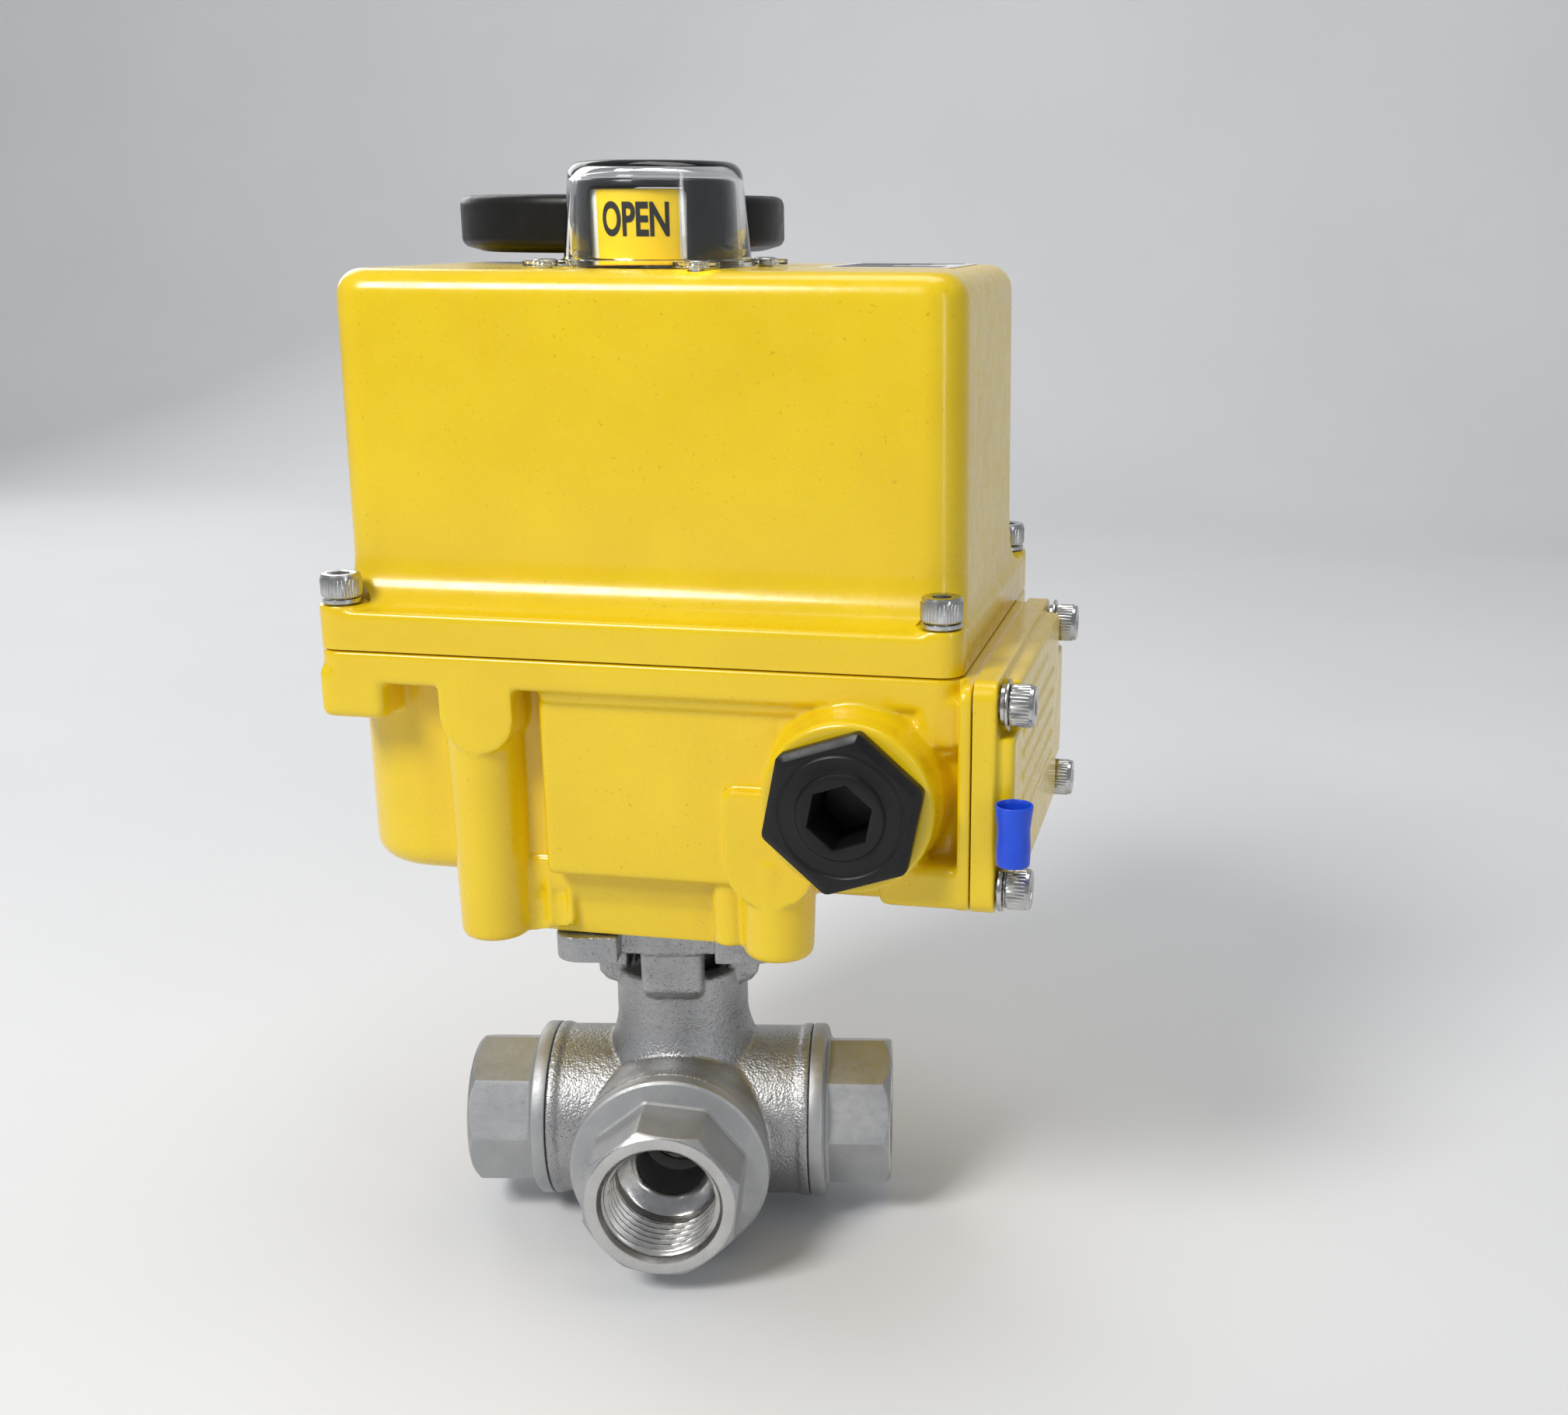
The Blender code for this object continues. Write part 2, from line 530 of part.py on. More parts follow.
def cover():
    x0, x1 = flange_x()
    low = SEAM_Z + GAP

    def wall(z, inset=0.0, radius=COVER_CORNER):
        share = (COVER_TOP_Z - z) / (COVER_TOP_Z - FLANGE_TOP_Z)
        grow = COVER_DRAFT * share - inset
        return rounded_rect(CASE_X - COVER_HALF_X - grow, CASE_X + COVER_HALF_X + grow, COVER_FRONT - grow,
                            COVER_REAR + grow, radius, z)

    def skirt(z, share):
        """Hollow fillet between the wall (share 0) and the flange (share 1)."""
        side = COVER_DRAFT + share * 0.9 * MM
        return rounded_rect(CASE_X - COVER_HALF_X - side, CASE_X + COVER_HALF_X + side,
                            COVER_FRONT - COVER_DRAFT - share * 8.0 * MM, COVER_REAR + COVER_DRAFT + share * 8.0 * MM,
                            COVER_CORNER - share * 1.5 * MM, z)

    edge = COVER_EDGE
    loops = [
        rounded_rect(x0, x1, FLANGE_FRONT, FLANGE_REAR, FLANGE_CORNER, low),
        rounded_rect(x0, x1, FLANGE_FRONT, FLANGE_REAR, FLANGE_CORNER, FLANGE_TOP_Z - 0.9 * MM),
        rounded_rect(x0 + 0.6 * MM, x1 - 0.6 * MM, FLANGE_FRONT + 0.9 * MM, FLANGE_REAR - 0.9 * MM,
                     FLANGE_CORNER, FLANGE_TOP_Z),
        skirt(FLANGE_TOP_Z + 0.5 * MM, 0.85),
        skirt(FLANGE_TOP_Z + 1.7 * MM, 0.42),
        skirt(FLANGE_TOP_Z + 3.8 * MM, 0.14),
        skirt(FLANGE_TOP_Z + 7.5 * MM, 0.0),
        wall(COVER_TOP_Z - edge),
        wall(COVER_TOP_Z - 0.45 * edge, 0.16 * edge),
        wall(COVER_TOP_Z - 0.13 * edge, 0.50 * edge, COVER_CORNER - 0.3 * edge),
        wall(COVER_TOP_Z, edge, COVER_CORNER - 0.6 * edge),
    ]
    shell = make_object("cover", loft(loops), "yellow")
    tower = turned([(0.0, low), (TOWER_R, low), (TOWER_R, COVER_TOP_Z - edge),
                    (TOWER_R - 0.16 * edge, COVER_TOP_Z - 0.45 * edge), (TOWER_R - 0.5 * edge, COVER_TOP_Z - 0.13 * edge),
                    (TOWER_R - edge, COVER_TOP_Z), (0.0, COVER_TOP_Z)], 22, (WHEEL.x, WHEEL.y))
    fuse(shell, make_object("cover_tower", tower))
    for index, (x, y) in enumerate(corner_screw_places()):
        lug = loft([ring(4.0 * MM, low, 14, (x, y)), ring(4.0 * MM, SCREW_SEAT_Z - 0.4 * MM, 14, (x, y)),
                    ring(3.7 * MM, SCREW_SEAT_Z, 14, (x, y))])
        fuse(shell, make_object(f"cover_lug_{index}", lug))

    cavity = loft([
        rounded_rect(CAVITY_LEFT, CAVITY_RIGHT, CAVITY_FRONT, CAVITY_REAR, 4.0 * MM, SEAM_Z - 2 * MM),
        rounded_rect(CAVITY_LEFT, CAVITY_RIGHT, CAVITY_FRONT, CAVITY_REAR, 4.0 * MM, COVER_TOP_Z - COVER_WALL)])
    cuts = [("cavity", cavity),
            ("tower_bore", cylinder(8.4 * MM, SEAM_Z - 3 * MM, 148.0 * MM, 18, (WHEEL.x, WHEEL.y))),
            ("bush_bore", cylinder(5.6 * MM, 146.0 * MM, COVER_TOP_Z + 2 * MM, 20, (WHEEL.x, WHEEL.y))),
            ("drive_hole", cylinder(5.8 * MM, COVER_TOP_Z - 6 * MM, COVER_TOP_Z + 2 * MM, 24))]
    for index, (x, y) in enumerate(corner_screw_places()):
        cuts.append((f"relief_{index}", cylinder(4.4 * MM, SCREW_SEAT_Z - 0.05 * MM, SCREW_SEAT_Z + 9 * MM, 14, (x, y))))
        cuts.append((f"screw_{index}", cylinder(2.3 * MM, SEAM_Z - 2 * MM, SCREW_SEAT_Z + 2 * MM, 10, (x, y))))
    for index, (x, y) in enumerate(ear_places()):
        cuts.append((f"dome_screw_{index}", cylinder(1.5 * MM, COVER_TOP_Z - 2.2 * MM, COVER_TOP_Z + 2 * MM, 8, (x, y))))
    for name, bm in cuts:
        cut(shell, make_object(f"cut_cover_{name}", bm))
    return shell


def cover_gasket():
    outer, inner = gasket_outlines(0.7 * MM)
    low, high = SEAM_Z - 1.2 * MM, SEAM_Z - 0.1 * MM
    return make_object("cover_gasket", loft([outer(low), outer(high), inner(high), inner(low)], closed=True), "rubber")


def terminal_cover():
    inner_x = FRAME_X + GAP
    y0, y1, z0, z1 = FRAME_FRONT, FRAME_REAR, FRAME_LOW, SEAM_Z + 0.7 * MM
    outline = rounded_rect(y0, y1, z0, z1, 3.0 * MM, 0.0, 3)
    lip = rounded_rect(y0 + 0.5 * MM, y1 - 0.5 * MM, z0 + 0.5 * MM, z1 - 0.5 * MM, 3.0 * MM, 0.0, 3)
    plate = make_object("terminal_cover", loft([
        [(inner_x, y, z) for y, z, _ in outline],
        [(63.8 * MM, y, z) for y, z, _ in outline],
        [(64.3 * MM, y, z) for y, z, _ in lip]]), "yellow")
    panel = block(62.0 * MM, 67.6 * MM, y0 + 1.2 * MM, y1 - 1.2 * MM, z0 + 1.2 * MM, z1 - 1.2 * MM, 1.0 * MM)
    fuse(plate, make_object("terminal_panel", panel))
    for index, (y, z) in enumerate(TERMINAL_SCREWS):
        out_y = -1.0 if y < 0 else 1.0
        out_z = -1.0 if z < 75 * MM else 1.0
        ys = sorted((y - out_y * 5.0 * MM, y + out_y * 8.0 * MM))
        zs = sorted((z - out_z * 5.0 * MM, z + out_z * 8.0 * MM))
        cut(plate, make_object(f"cut_notch_{index}", block(64.3 * MM, 70.0 * MM, ys[0], ys[1], zs[0], zs[1])))
        hole = aim(cylinder(2.3 * MM, 0.0, 8.0 * MM, 10), (1, 0, 0), (FRAME_X - 1 * MM, y, z))
        cut(plate, make_object(f"cut_plate_hole_{index}", hole))
    wy0, wy1, wz0, wz1 = TERMINAL_WINDOW
    hollow = block(58.0 * MM, 65.0 * MM, wy0 + 2 * MM, wy1 - 2 * MM, wz0 + 2 * MM, wz1 - 2 * MM)
    cut(plate, make_object("cut_plate_hollow", hollow))
    return plate


def terminal_gasket():
    outer, inner = side_gasket_outlines(0.7 * MM)
    low, high = FRAME_X - 1.2 * MM, FRAME_X - 0.1 * MM
    return make_object("terminal_gasket", loft([outer(low), outer(high), inner(high), inner(low)], closed=True), "rubber")


def casing_screws():
    for index, (x, y) in enumerate(corner_screw_places()):
        bm = socket_screw("screw", 3.5 * MM, 4.0 * MM, 2.0 * MM, 18.0 * MM, 3.0 * MM)
        place_screw(f"cover_screw_{index + 1}", bm, (x, y, SCREW_SEAT_Z + 1.3 * MM), (0, 0, 1))
    for index, (y, z) in enumerate(TERMINAL_SCREWS):
        bm = socket_screw("screw", 3.5 * MM, 4.0 * MM, 2.0 * MM, 7.4 * MM, 3.0 * MM)
        place_screw(f"terminal_screw_{index + 1}", bm, (66.0 * MM, y, z), (1, 0, 0))


def cable_plug():
    s = 24
    hex_af = 24.3 * MM
    loops = [
        ring(9.3 * MM, -12.0 * MM, s),
        ring(9.3 * MM, 0.0, s),
        polygon_ring(6, hex_af / 2.0 - 0.4 * MM, GAP, s),
        polygon_ring(6, hex_af / 2.0, 1.0 * MM, s),
        polygon_ring(6, hex_af / 2.0, 2.9 * MM, s),
        polygon_ring(6, hex_af / 2.0 - 0.9 * MM, 3.8 * MM, s),
        ring(7.6 * MM, 3.8 * MM, s),
        ring(6.7 * MM, 4.6 * MM, s),
        polygon_ring(6, 4.7 * MM, 4.6 * MM, s, turn=0.0),
        polygon_ring(6, 4.7 * MM, -6.0 * MM, s, turn=0.0),
    ]
    plug = make_object("cable_plug", loft(loops), "black_plastic", origin=CONDUIT)
    plug.rotation_euler = (math.pi / 2.0, math.radians(-18.5), 0.0)
    return plug


def ground_terminal():
    y, z = TERMINAL_SCREWS[0]
    washer_x = 64.65 * MM
    tongue_path = [(0.0, 1.8, 0.0), (0.1, 3.2, 1.4), (2.6, 5.1, 6.6), (2.6, 13.5, 6.6)]
    half = 1.6 * MM
    plate = make_object("ground_lug", aim(turned([(2.4 * MM, 0.0), (3.9 * MM, 0.0), (3.9 * MM, 0.8 * MM),
                                                  (2.4 * MM, 0.8 * MM)], 16), (1, 0, 0), (washer_x, y, z)), "tin")
    loops = []
    for out, up, forward in tongue_path:
        x = washer_x + out * MM
        middle = y - forward * MM
        corners = ((x, middle - half), (x + 0.8 * MM, middle - half), (x + 0.8 * MM, middle + half), (x, middle + half))
        loops.append([(*corner, z + (up + 0.6) * MM) for corner in corners])
    fuse(plate, make_object("lug_tongue", loft(loops)))
    sleeve_at = (washer_x + 3.0 * MM, y - 6.6 * MM)
    wall = [(2.35, 6.4), (2.7, 6.4), (2.75, 9.5), (2.62, 12.2), (3.0, 15.0), (3.1, 16.6), (2.6, 16.6), (2.5, 15.0), (2.3, 12.2)]
    sleeve = turned([(r * MM, z + h * MM) for r, h in wall], 14, sleeve_at)
    make_object("ground_sleeve", sleeve, "blue_vinyl")


def rating_plate():
    x = CHAMBER_LEFT - GAP
    plate = block(x - 0.4 * MM, x, -6.0 * MM, 32.0 * MM, 60.0 * MM, 82.0 * MM)
    return make_object("rating_plate", plate, "tin")


# ---- top of the cover -----------------------------------------------------------------------
def ear_places():
    return [(EAR_RING * math.cos(EAR_TURN + i * math.pi / 2.0), EAR_RING * math.sin(EAR_TURN + i * math.pi / 2.0))
            for i in range(4)]


EAR_TOP_Z = COVER_TOP_Z + 1.3 * MM


def indicator_dome():
    low = COVER_TOP_Z + GAP
    profile = [
        (14.8 * MM, low), (16.6 * MM, low), (16.6 * MM, EAR_TOP_Z), (DOME_R, EAR_TOP_Z + 0.2 * MM),
        (DOME_TOP_R + 0.1 * MM, DOME_TOP_Z - 3.6 * MM), (DOME_TOP_R - 0.5 * MM, DOME_TOP_Z - 1.6 * MM),
        (DOME_TOP_R - 1.6 * MM, DOME_TOP_Z - 0.4 * MM), (DOME_TOP_R - 3.0 * MM, DOME_TOP_Z), (0.0, DOME_TOP_Z),
        (0.0, DOME_TOP_Z - 1.4 * MM), (DOME_TOP_R - 3.0 * MM, DOME_TOP_Z - 1.4 * MM),
        (DOME_TOP_R - 1.2 * MM, DOME_TOP_Z - 3.4 * MM),
    ]
    dome = make_object("indicator_dome", turned(profile, 32), "clear")
    for index, (x, y) in enumerate(ear_places()):
        ear = loft([ring(3.9 * MM, low + 0.02 * MM, 14, (x, y)), ring(3.9 * MM, EAR_TOP_Z - 0.02 * MM, 14, (x, y))])
        fuse(dome, make_object(f"dome_ear_{index}", ear))
        hole = cylinder(1.5 * MM, low - 1 * MM, EAR_TOP_Z + 1 * MM, 8, (x, y))
        cut(dome, make_object(f"cut_dome_hole_{index}", hole))
        seat = cylinder(2.4 * MM, low + 0.4 * MM, EAR_TOP_Z + 1 * MM, 12, (x, y))
        cut(dome, make_object(f"cut_dome_seat_{index}", seat))
    for index, (x, y) in enumerate(ear_places()):
        bm = turned([(0.0, -2.9 * MM), (1.2 * MM, -2.9 * MM), (1.2 * MM, 0.0), (2.1 * MM, 0.0), (2.1 * MM, 0.5 * MM),
                     (0.0, 0.5 * MM)], 10)
        place_screw(f"dome_screw_{index + 1}", bm, (x, y, EAR_TOP_Z - GAP), (0, 0, 1))
    return dome


def indicator_shroud():
    low = COVER_TOP_Z + GAP
    top = 172.6 * MM
    profile = [(12.9 * MM, low), (13.9 * MM, low), (13.4 * MM, top - 0.8 * MM), (12.8 * MM, top), (0.0, top),
               (0.0, top - 0.8 * MM), (12.7 * MM, top - 0.8 * MM)]
    shroud = make_object("indicator_shroud", turned(profile, 32), "black_plastic")
    facing = -math.pi / 2.0
    for index in range(2):
        window = block(6.0 * MM, 18.0 * MM, -8.2 * MM, 8.2 * MM, low - 2.0 * MM, 171.4 * MM)
        window.transform(Matrix.Rotation(facing + index * math.pi, 4, "Z"))
        cut(shroud, make_object(f"cut_shroud_window_{index}", window))
    return shroud


def indicator_drum():
    low = COVER_TOP_Z + 0.8 * MM
    top = 170.9 * MM
    profile = [(11.2 * MM, low), (12.4 * MM, low), (12.3 * MM, top), (5.3 * MM, top), (5.3 * MM, 160.6 * MM),
               (6.6 * MM, 160.6 * MM), (6.6 * MM, top - 1.2 * MM), (11.2 * MM, top - 1.2 * MM)]
    return make_object("indicator_drum", turned(profile, 24), "yellow")


def handwheel():
    profile = [(3.3, 158.9), (7.6, 158.9), (8.8, 160.3), (26.6, 160.2), (30.4, 161.4), (WHEEL_R / MM, 162.1),
               (WHEEL_R / MM, 169.3), (30.5, 170.1), (29.4, 170.5), (26.8, 170.5), (25.6, 169.2), (10.0, 168.6),
               (8.8, 169.8), (3.3, 169.8)]
    wheel = make_object("handwheel", turned([(r * MM, z * MM) for r, z in profile], 32), "black_plastic", origin=WHEEL)
    angle = math.radians(190.0)
    outward = (math.cos(angle), math.sin(angle), 0.0)
    start = Vector(outward) * 26.0 * MM + Vector((0.0, 0.0, 165.6 * MM))
    hole = make_object("cut_wheel_hole", aim(cylinder(1.7 * MM, 0.0, 8.0 * MM, 14), outward, start), origin=WHEEL)
    cut(wheel, hole)
    grub = loft([ring(1.35 * MM, GAP, 12), ring(1.35 * MM, 5.6 * MM, 12), polygon_ring(6, 0.7 * MM, 5.6 * MM, 12),
                 polygon_ring(6, 0.7 * MM, 4.4 * MM, 12)])
    make_object("handwheel_grub_screw", aim(grub, outward, start), "stainless", origin=WHEEL)


def manual_shaft(phase):
    shaft = cylinder(3.0 * MM, FLOOR_Z + 3.5 * MM, 169.0 * MM, 20)
    item = make_object("manual_shaft", shaft, "steel", origin=WHEEL)
    pinion = gear_wheel(MANUAL_TEETH, MID_MODULE, 71.6 * MM, 75.4 * MM, phase)
    fuse(item, make_object("manual_pinion", pinion, origin=WHEEL))
    bush = turned([(3.3 * MM, 148.6 * MM), (5.3 * MM, 148.6 * MM), (5.3 * MM, 157.9 * MM), (3.3 * MM, 157.9 * MM)], 20)
    make_object("manual_shaft_bush", bush, "brass", origin=WHEEL)
    return item


# ---- inside the actuator --------------------------------------------------------------------
def drive_train():
    shaft_profile = [(0.0, HUB_Z + 0.5 * MM), (8.0 * MM, HUB_Z + 0.5 * MM), (8.0 * MM, 69.0 * MM),
                     (SHAFT_BORE_R, 69.0 * MM), (SHAFT_BORE_R, 90.0 * MM), (6.0 * MM, 90.0 * MM), (6.0 * MM, 118.0 * MM),
                     (5.0 * MM, 118.0 * MM), (5.0 * MM, 169.0 * MM), (0.0, 169.0 * MM)]
    shaft = make_object("drive_shaft", turned(shaft_profile, 20), "steel")
    half = SQUARE_AF / 2.0 + GAP
    socket = block(-half, half, -half, half, HUB_Z - 3 * MM, 55.0 * MM)
    socket.transform(Matrix.Rotation(VALVE_TURN, 4, "Z"))
    cut(shaft, make_object("cut_drive_socket", socket))

    gear = make_object("output_gear", gear_wheel(OUTPUT_TEETH, OUTPUT_MODULE, *OUTPUT_GEAR_Z, 0.0), "steel")
    cut(gear, make_object("cut_output_bore", cylinder(8.0 * MM + GAP, 58.0 * MM, 69.0 * MM, 20)))

    for name, z, facing in (("open_cam", 100.0, math.radians(-20.0)), ("shut_cam", 106.0, math.radians(70.0))):
        outline = []
        for i in range(24):
            angle = TAU * i / 24
            lobe = max(0.0, math.cos(angle - facing)) ** 6
            outline.append(((10.0 + 2.2 * lobe) * MM, angle))
        loops = []
        for radius_share, height in ((1, 0.0), (1, 4.0)):
            loops.append([(r * math.cos(a), r * math.sin(a), (z + height) * MM) for r, a in outline])
        inner = [ring(6.3 * MM, (z + h) * MM, 24) for h in (4.0, 0.0)]
        make_object(name, loft(loops + inner, closed=True), "black_plastic")

    bush = turned([(8.3 * MM, 47.3 * MM), (11.0 * MM, 47.3 * MM), (11.0 * MM, 56.9 * MM), (8.3 * MM, 56.9 * MM)], 20)
    make_object("lower_bush", bush, "brass")
    bush = turned([(SHAFT_BORE_R + GAP, 83.4 * MM), (9.4 * MM, 83.4 * MM), (9.4 * MM, 89.0 * MM), (SHAFT_BORE_R + GAP, 89.0 * MM)], 20)
    make_object("upper_bush", bush, "brass")


def compound_gear(name, place, small, large, bore_r, hub_r, top_z):
    """A large wheel over a small pinion on one hub, turning on a pin."""
    (small_teeth, small_module, small_z, small_phase) = small
    (large_teeth, large_module, large_z, large_phase) = large
    origin = (place.x, place.y, 0.0)
    item = make_object(name, gear_wheel(large_teeth, large_module, *large_z, large_phase), "steel", origin=origin)
    pinion = gear_wheel(small_teeth, small_module, small_z[0], large_z[0] + 0.5 * MM, small_phase)
    fuse(item, make_object(f"{name}_pinion", pinion, origin=origin))
    fuse(item, make_object(f"{name}_hub", cylinder(hub_r, large_z[0] + 0.6 * MM, top_z, 16), origin=origin))
    cut(item, make_object(f"cut_{name}_bore", cylinder(bore_r, small_z[0] - 2 * MM, top_z + 2 * MM, 14), origin=origin))
    return item


def reduction_gears():
    to_second = heading(DRIVE, SECOND)
    second_small = meshed_phase(0.0, OUTPUT_TEETH, SECOND_SMALL, to_second)
    compound_gear("second_gear", SECOND, (SECOND_SMALL, OUTPUT_MODULE, (59.4 * MM, 71.0 * MM), second_small),
                  (SECOND_LARGE, MID_MODULE, SECOND_LARGE_Z, 0.0), PIN_R + GAP, 4.0 * MM, 83.0 * MM)
    manual_phase = meshed_phase(0.0, SECOND_LARGE, MANUAL_TEETH, heading(SECOND, MANUAL))
    manual_shaft(manual_phase)
    first_small = meshed_phase(0.0, SECOND_LARGE, FIRST_SMALL, heading(SECOND, FIRST))
    compound_gear("first_gear", FIRST, (FIRST_SMALL, MID_MODULE, (71.4 * MM, 77.0 * MM), first_small),
                  (FIRST_LARGE, FAST_MODULE, FIRST_LARGE_Z, 0.0), PIN_R + GAP, 3.4 * MM, 83.0 * MM)
    for name, spot in (("first_gear_pin", FIRST), ("second_gear_pin", SECOND)):
        make_object(name, cylinder(PIN_R, FLOOR_Z - 1.9 * MM, PLATE_Z[1], 14), "steel", origin=(spot.x, spot.y, 0.0))
    motor_phase = meshed_phase(0.0, FIRST_LARGE, MOTOR_TEETH, heading(FIRST, MOTOR))
    pinion = make_object("motor_pinion", gear_wheel(MOTOR_TEETH, FAST_MODULE, 77.5 * MM, 81.0 * MM, motor_phase), "brass",
                         origin=(MOTOR.x, MOTOR.y, 0.0))
    spindle = cylinder(1.5 * MM, 79.0 * MM, 94.0 * MM, 12)
    fuse(pinion, make_object("motor_spindle", spindle, origin=(MOTOR.x, MOTOR.y, 0.0)))


def gear_plate():
    plate = loft([rounded_rect(CAVITY_LEFT + 0.6 * MM, 34.0 * MM, CAVITY_FRONT + 0.6 * MM, CAVITY_REAR - 0.8 * MM,
                               8.4 * MM, z) for z in PLATE_Z])
    item = make_object("gear_plate", plate, "steel")
    holes = [(DRIVE, 9.4 * MM + GAP, 24), (MOTOR, 4.5 * MM, 16), (FIRST, PIN_R + GAP, 14), (SECOND, PIN_R + GAP, 14),
             (MANUAL, 4.5 * MM, 16)]
    for index, (spot, radius, sides) in enumerate(holes):
        hole = cylinder(radius, PLATE_Z[0] - 2 * MM, PLATE_Z[1] + 2 * MM, sides, (spot.x, spot.y))
        cut(item, make_object(f"cut_plate_{index}", hole))
    return item


def electrics():
    body = [(1.9, 87.0), (6.0, 87.0), (6.0, 88.2), (13.2, 88.2), (14.0, 89.2), (14.0, 126.0), (13.0, 127.2),
            (4.0, 127.2), (4.0, 129.0), (0.0, 129.0), (0.0, 95.0), (1.9, 95.0)]
    make_object("motor", turned([(r * MM, z * MM) for r, z in body], 20), "steel", origin=(MOTOR.x, MOTOR.y, 0.0))

    low = PLATE_Z[1] + GAP
    switches = (("open_switch", (15.0, 21.4, -14.0, 6.0, 105.0), (13.0, 1.5, 102.0)),
                ("shut_switch", (-6.0, 14.0, 15.0, 21.4, 111.0), (-1.5, 13.0, 108.0)))
    for name, (x0, x1, y0, y1, top), (lx, ly, lz) in switches:
        item = make_object(name, block(x0 * MM, x1 * MM, y0 * MM, y1 * MM, low, top * MM, 0.6 * MM, 1), "black_plastic")
        button = block((lx - 0.4) * MM, (lx + 3.0) * MM, (ly - 1.5) * MM, (ly + 1.5) * MM, (lz - 1) * MM, (lz + 1) * MM)
        if name == "shut_switch":
            button.free()
            button = block((lx - 1.5) * MM, (lx + 1.5) * MM, (ly - 0.4) * MM, (ly + 3.0) * MM, (lz - 1) * MM, (lz + 1) * MM)
        fuse(item, make_object(f"{name}_button", button))

    board = block(36.2 * MM, 37.8 * MM, -14.0 * MM, 35.0 * MM, FLOOR_Z + GAP, 83.0 * MM)
    make_object("control_board", board, "circuit_green")
    block_item = make_object("terminal_block", block(38.1 * MM, 47.0 * MM, -10.0 * MM, 30.0 * MM, 62.0 * MM, 78.0 * MM, 0.5 * MM, 1),
                             "white_plastic")
    for index in range(7):
        y = (-7.1 + 5.4 * index) * MM
        slot = block(44.0 * MM, 49.0 * MM, y - 1.9 * MM, y + 1.9 * MM, 64.0 * MM, 76.0 * MM)
        cut(block_item, make_object(f"cut_terminal_slot_{index}", slot))


# ---- valve ----------------------------------------------------------------------------------
def pad_screw_places():
    places = []
    for u in (-1, 1):
        for v in (-1, 1):
            spot = Matrix.Rotation(VALVE_TURN, 3, "Z") @ Vector((u * PAD_SCREW, v * PAD_SCREW, 0.0))
            places.append((spot.x, spot.y))
    return places


def valve_body(frame):
    run = [(0.0, -JOINT_D), (SIDE_COLLAR_R, -JOINT_D), (SIDE_COLLAR_R, -22.9 * MM), (RUN_R, -22.3 * MM), (RUN_R, 22.3 * MM),
           (SIDE_COLLAR_R, 22.9 * MM), (SIDE_COLLAR_R, JOINT_D), (0.0, JOINT_D)]
    body = make_object("valve_body", aim(turned(run, 32), (1, 0, 0)), "cast_stainless", frame)
    branch = [(0.0, 0.0), (17.0 * MM, 0.0), (17.2 * MM, 16.0 * MM), (FRONT_COLLAR_R, 21.0 * MM),
              (FRONT_COLLAR_R, FRONT_JOINT_D), (0.0, FRONT_JOINT_D)]
    fuse(body, make_object("body_branch", aim(turned(branch, 30), (0, -1, 0)), parent=frame))
    back = [(0.0, 0.0), (15.8 * MM, 0.0), (15.2 * MM, 6.0 * MM), (12.4 * MM, 11.4 * MM), (7.0 * MM, 15.0 * MM),
            (0.0, 16.4 * MM)]
    fuse(body, make_object("body_back", aim(turned(back, 26), (0, 1, 0)), parent=frame))
    neck = [(0.0, 2.0 * MM), (NECK_R + 2.0 * MM, 2.0 * MM), (NECK_R + 1.4 * MM, 15.5 * MM), (NECK_R, 20.0 * MM),
            (NECK_R - 0.1 * MM, NECK_TOP), (0.0, NECK_TOP)]
    fuse(body, make_object("body_neck", turned(neck, 26), parent=frame))
    for index in range(4):
        low = 29.0 * MM
        rib = loft([[(9.3 * MM, -5.6 * MM, z), (x, -5.6 * MM, z), (x, 5.6 * MM, z), (9.3 * MM, 5.6 * MM, z)]
                    for x, z in ((12.3 * MM, low - 0.6 * MM), (15.0 * MM, low + 1.6 * MM), (15.5 * MM, PAD_Z[0] + 0.8 * MM))])
        rib.transform(Matrix.Rotation(index * math.pi / 2.0, 4, "Z"))
        fuse(body, make_object(f"body_rib_{index}", rib, parent=frame))
    pad = loft([rounded_rect(-PAD_HALF, PAD_HALF, -PAD_HALF, PAD_HALF, 4.5 * MM, z, 4) for z in PAD_Z])
    pad_item = make_object("body_pad", pad, parent=frame)
    for index in range(4):
        notch = block(15.8 * MM, 24.0 * MM, -PAD_NOTCH, PAD_NOTCH, PAD_Z[0] - 1 * MM, PAD_Z[1] + 1 * MM)
        notch.transform(Matrix.Rotation(index * math.pi / 2.0, 4, "Z"))
        cut(pad_item, make_object(f"cut_pad_notch_{index}", notch, parent=frame))
        corner = (PAD_SCREW * (index % 2 * 2 - 1), PAD_SCREW * (index // 2 * 2 - 1))
        hole = cylinder(2.8 * MM, PAD_Z[0] - 2 * MM, PAD_Z[1] + 2 * MM, 10, corner)
        cut(pad_item, make_object(f"cut_pad_hole_{index}", hole, parent=frame))
    fuse(body, pad_item)
    holes = [
        ("run_bore", aim(cylinder(CAVITY_R, -30 * MM, 30 * MM, 26), (1, 0, 0))),
        ("branch_bore", aim(cylinder(CAVITY_R + 0.2 * MM, 0.0, 30 * MM, 24), (0, -1, 0))),
        ("stem_bore", cylinder(STEM_R + GAP, 5.0 * MM, 30.0 * MM, 16)),
        ("packing_bore", cylinder(6.8 * MM, 26.0 * MM, 32.0 * MM, 18)),
        ("gland_bore", cylinder(9.0 * MM, 30.6 * MM, PAD_Z[1] + 2 * MM, 22)),
    ]
    for name, bm in holes:
        cut(body, make_object(f"cut_body_{name}", bm, parent=frame))
    return body


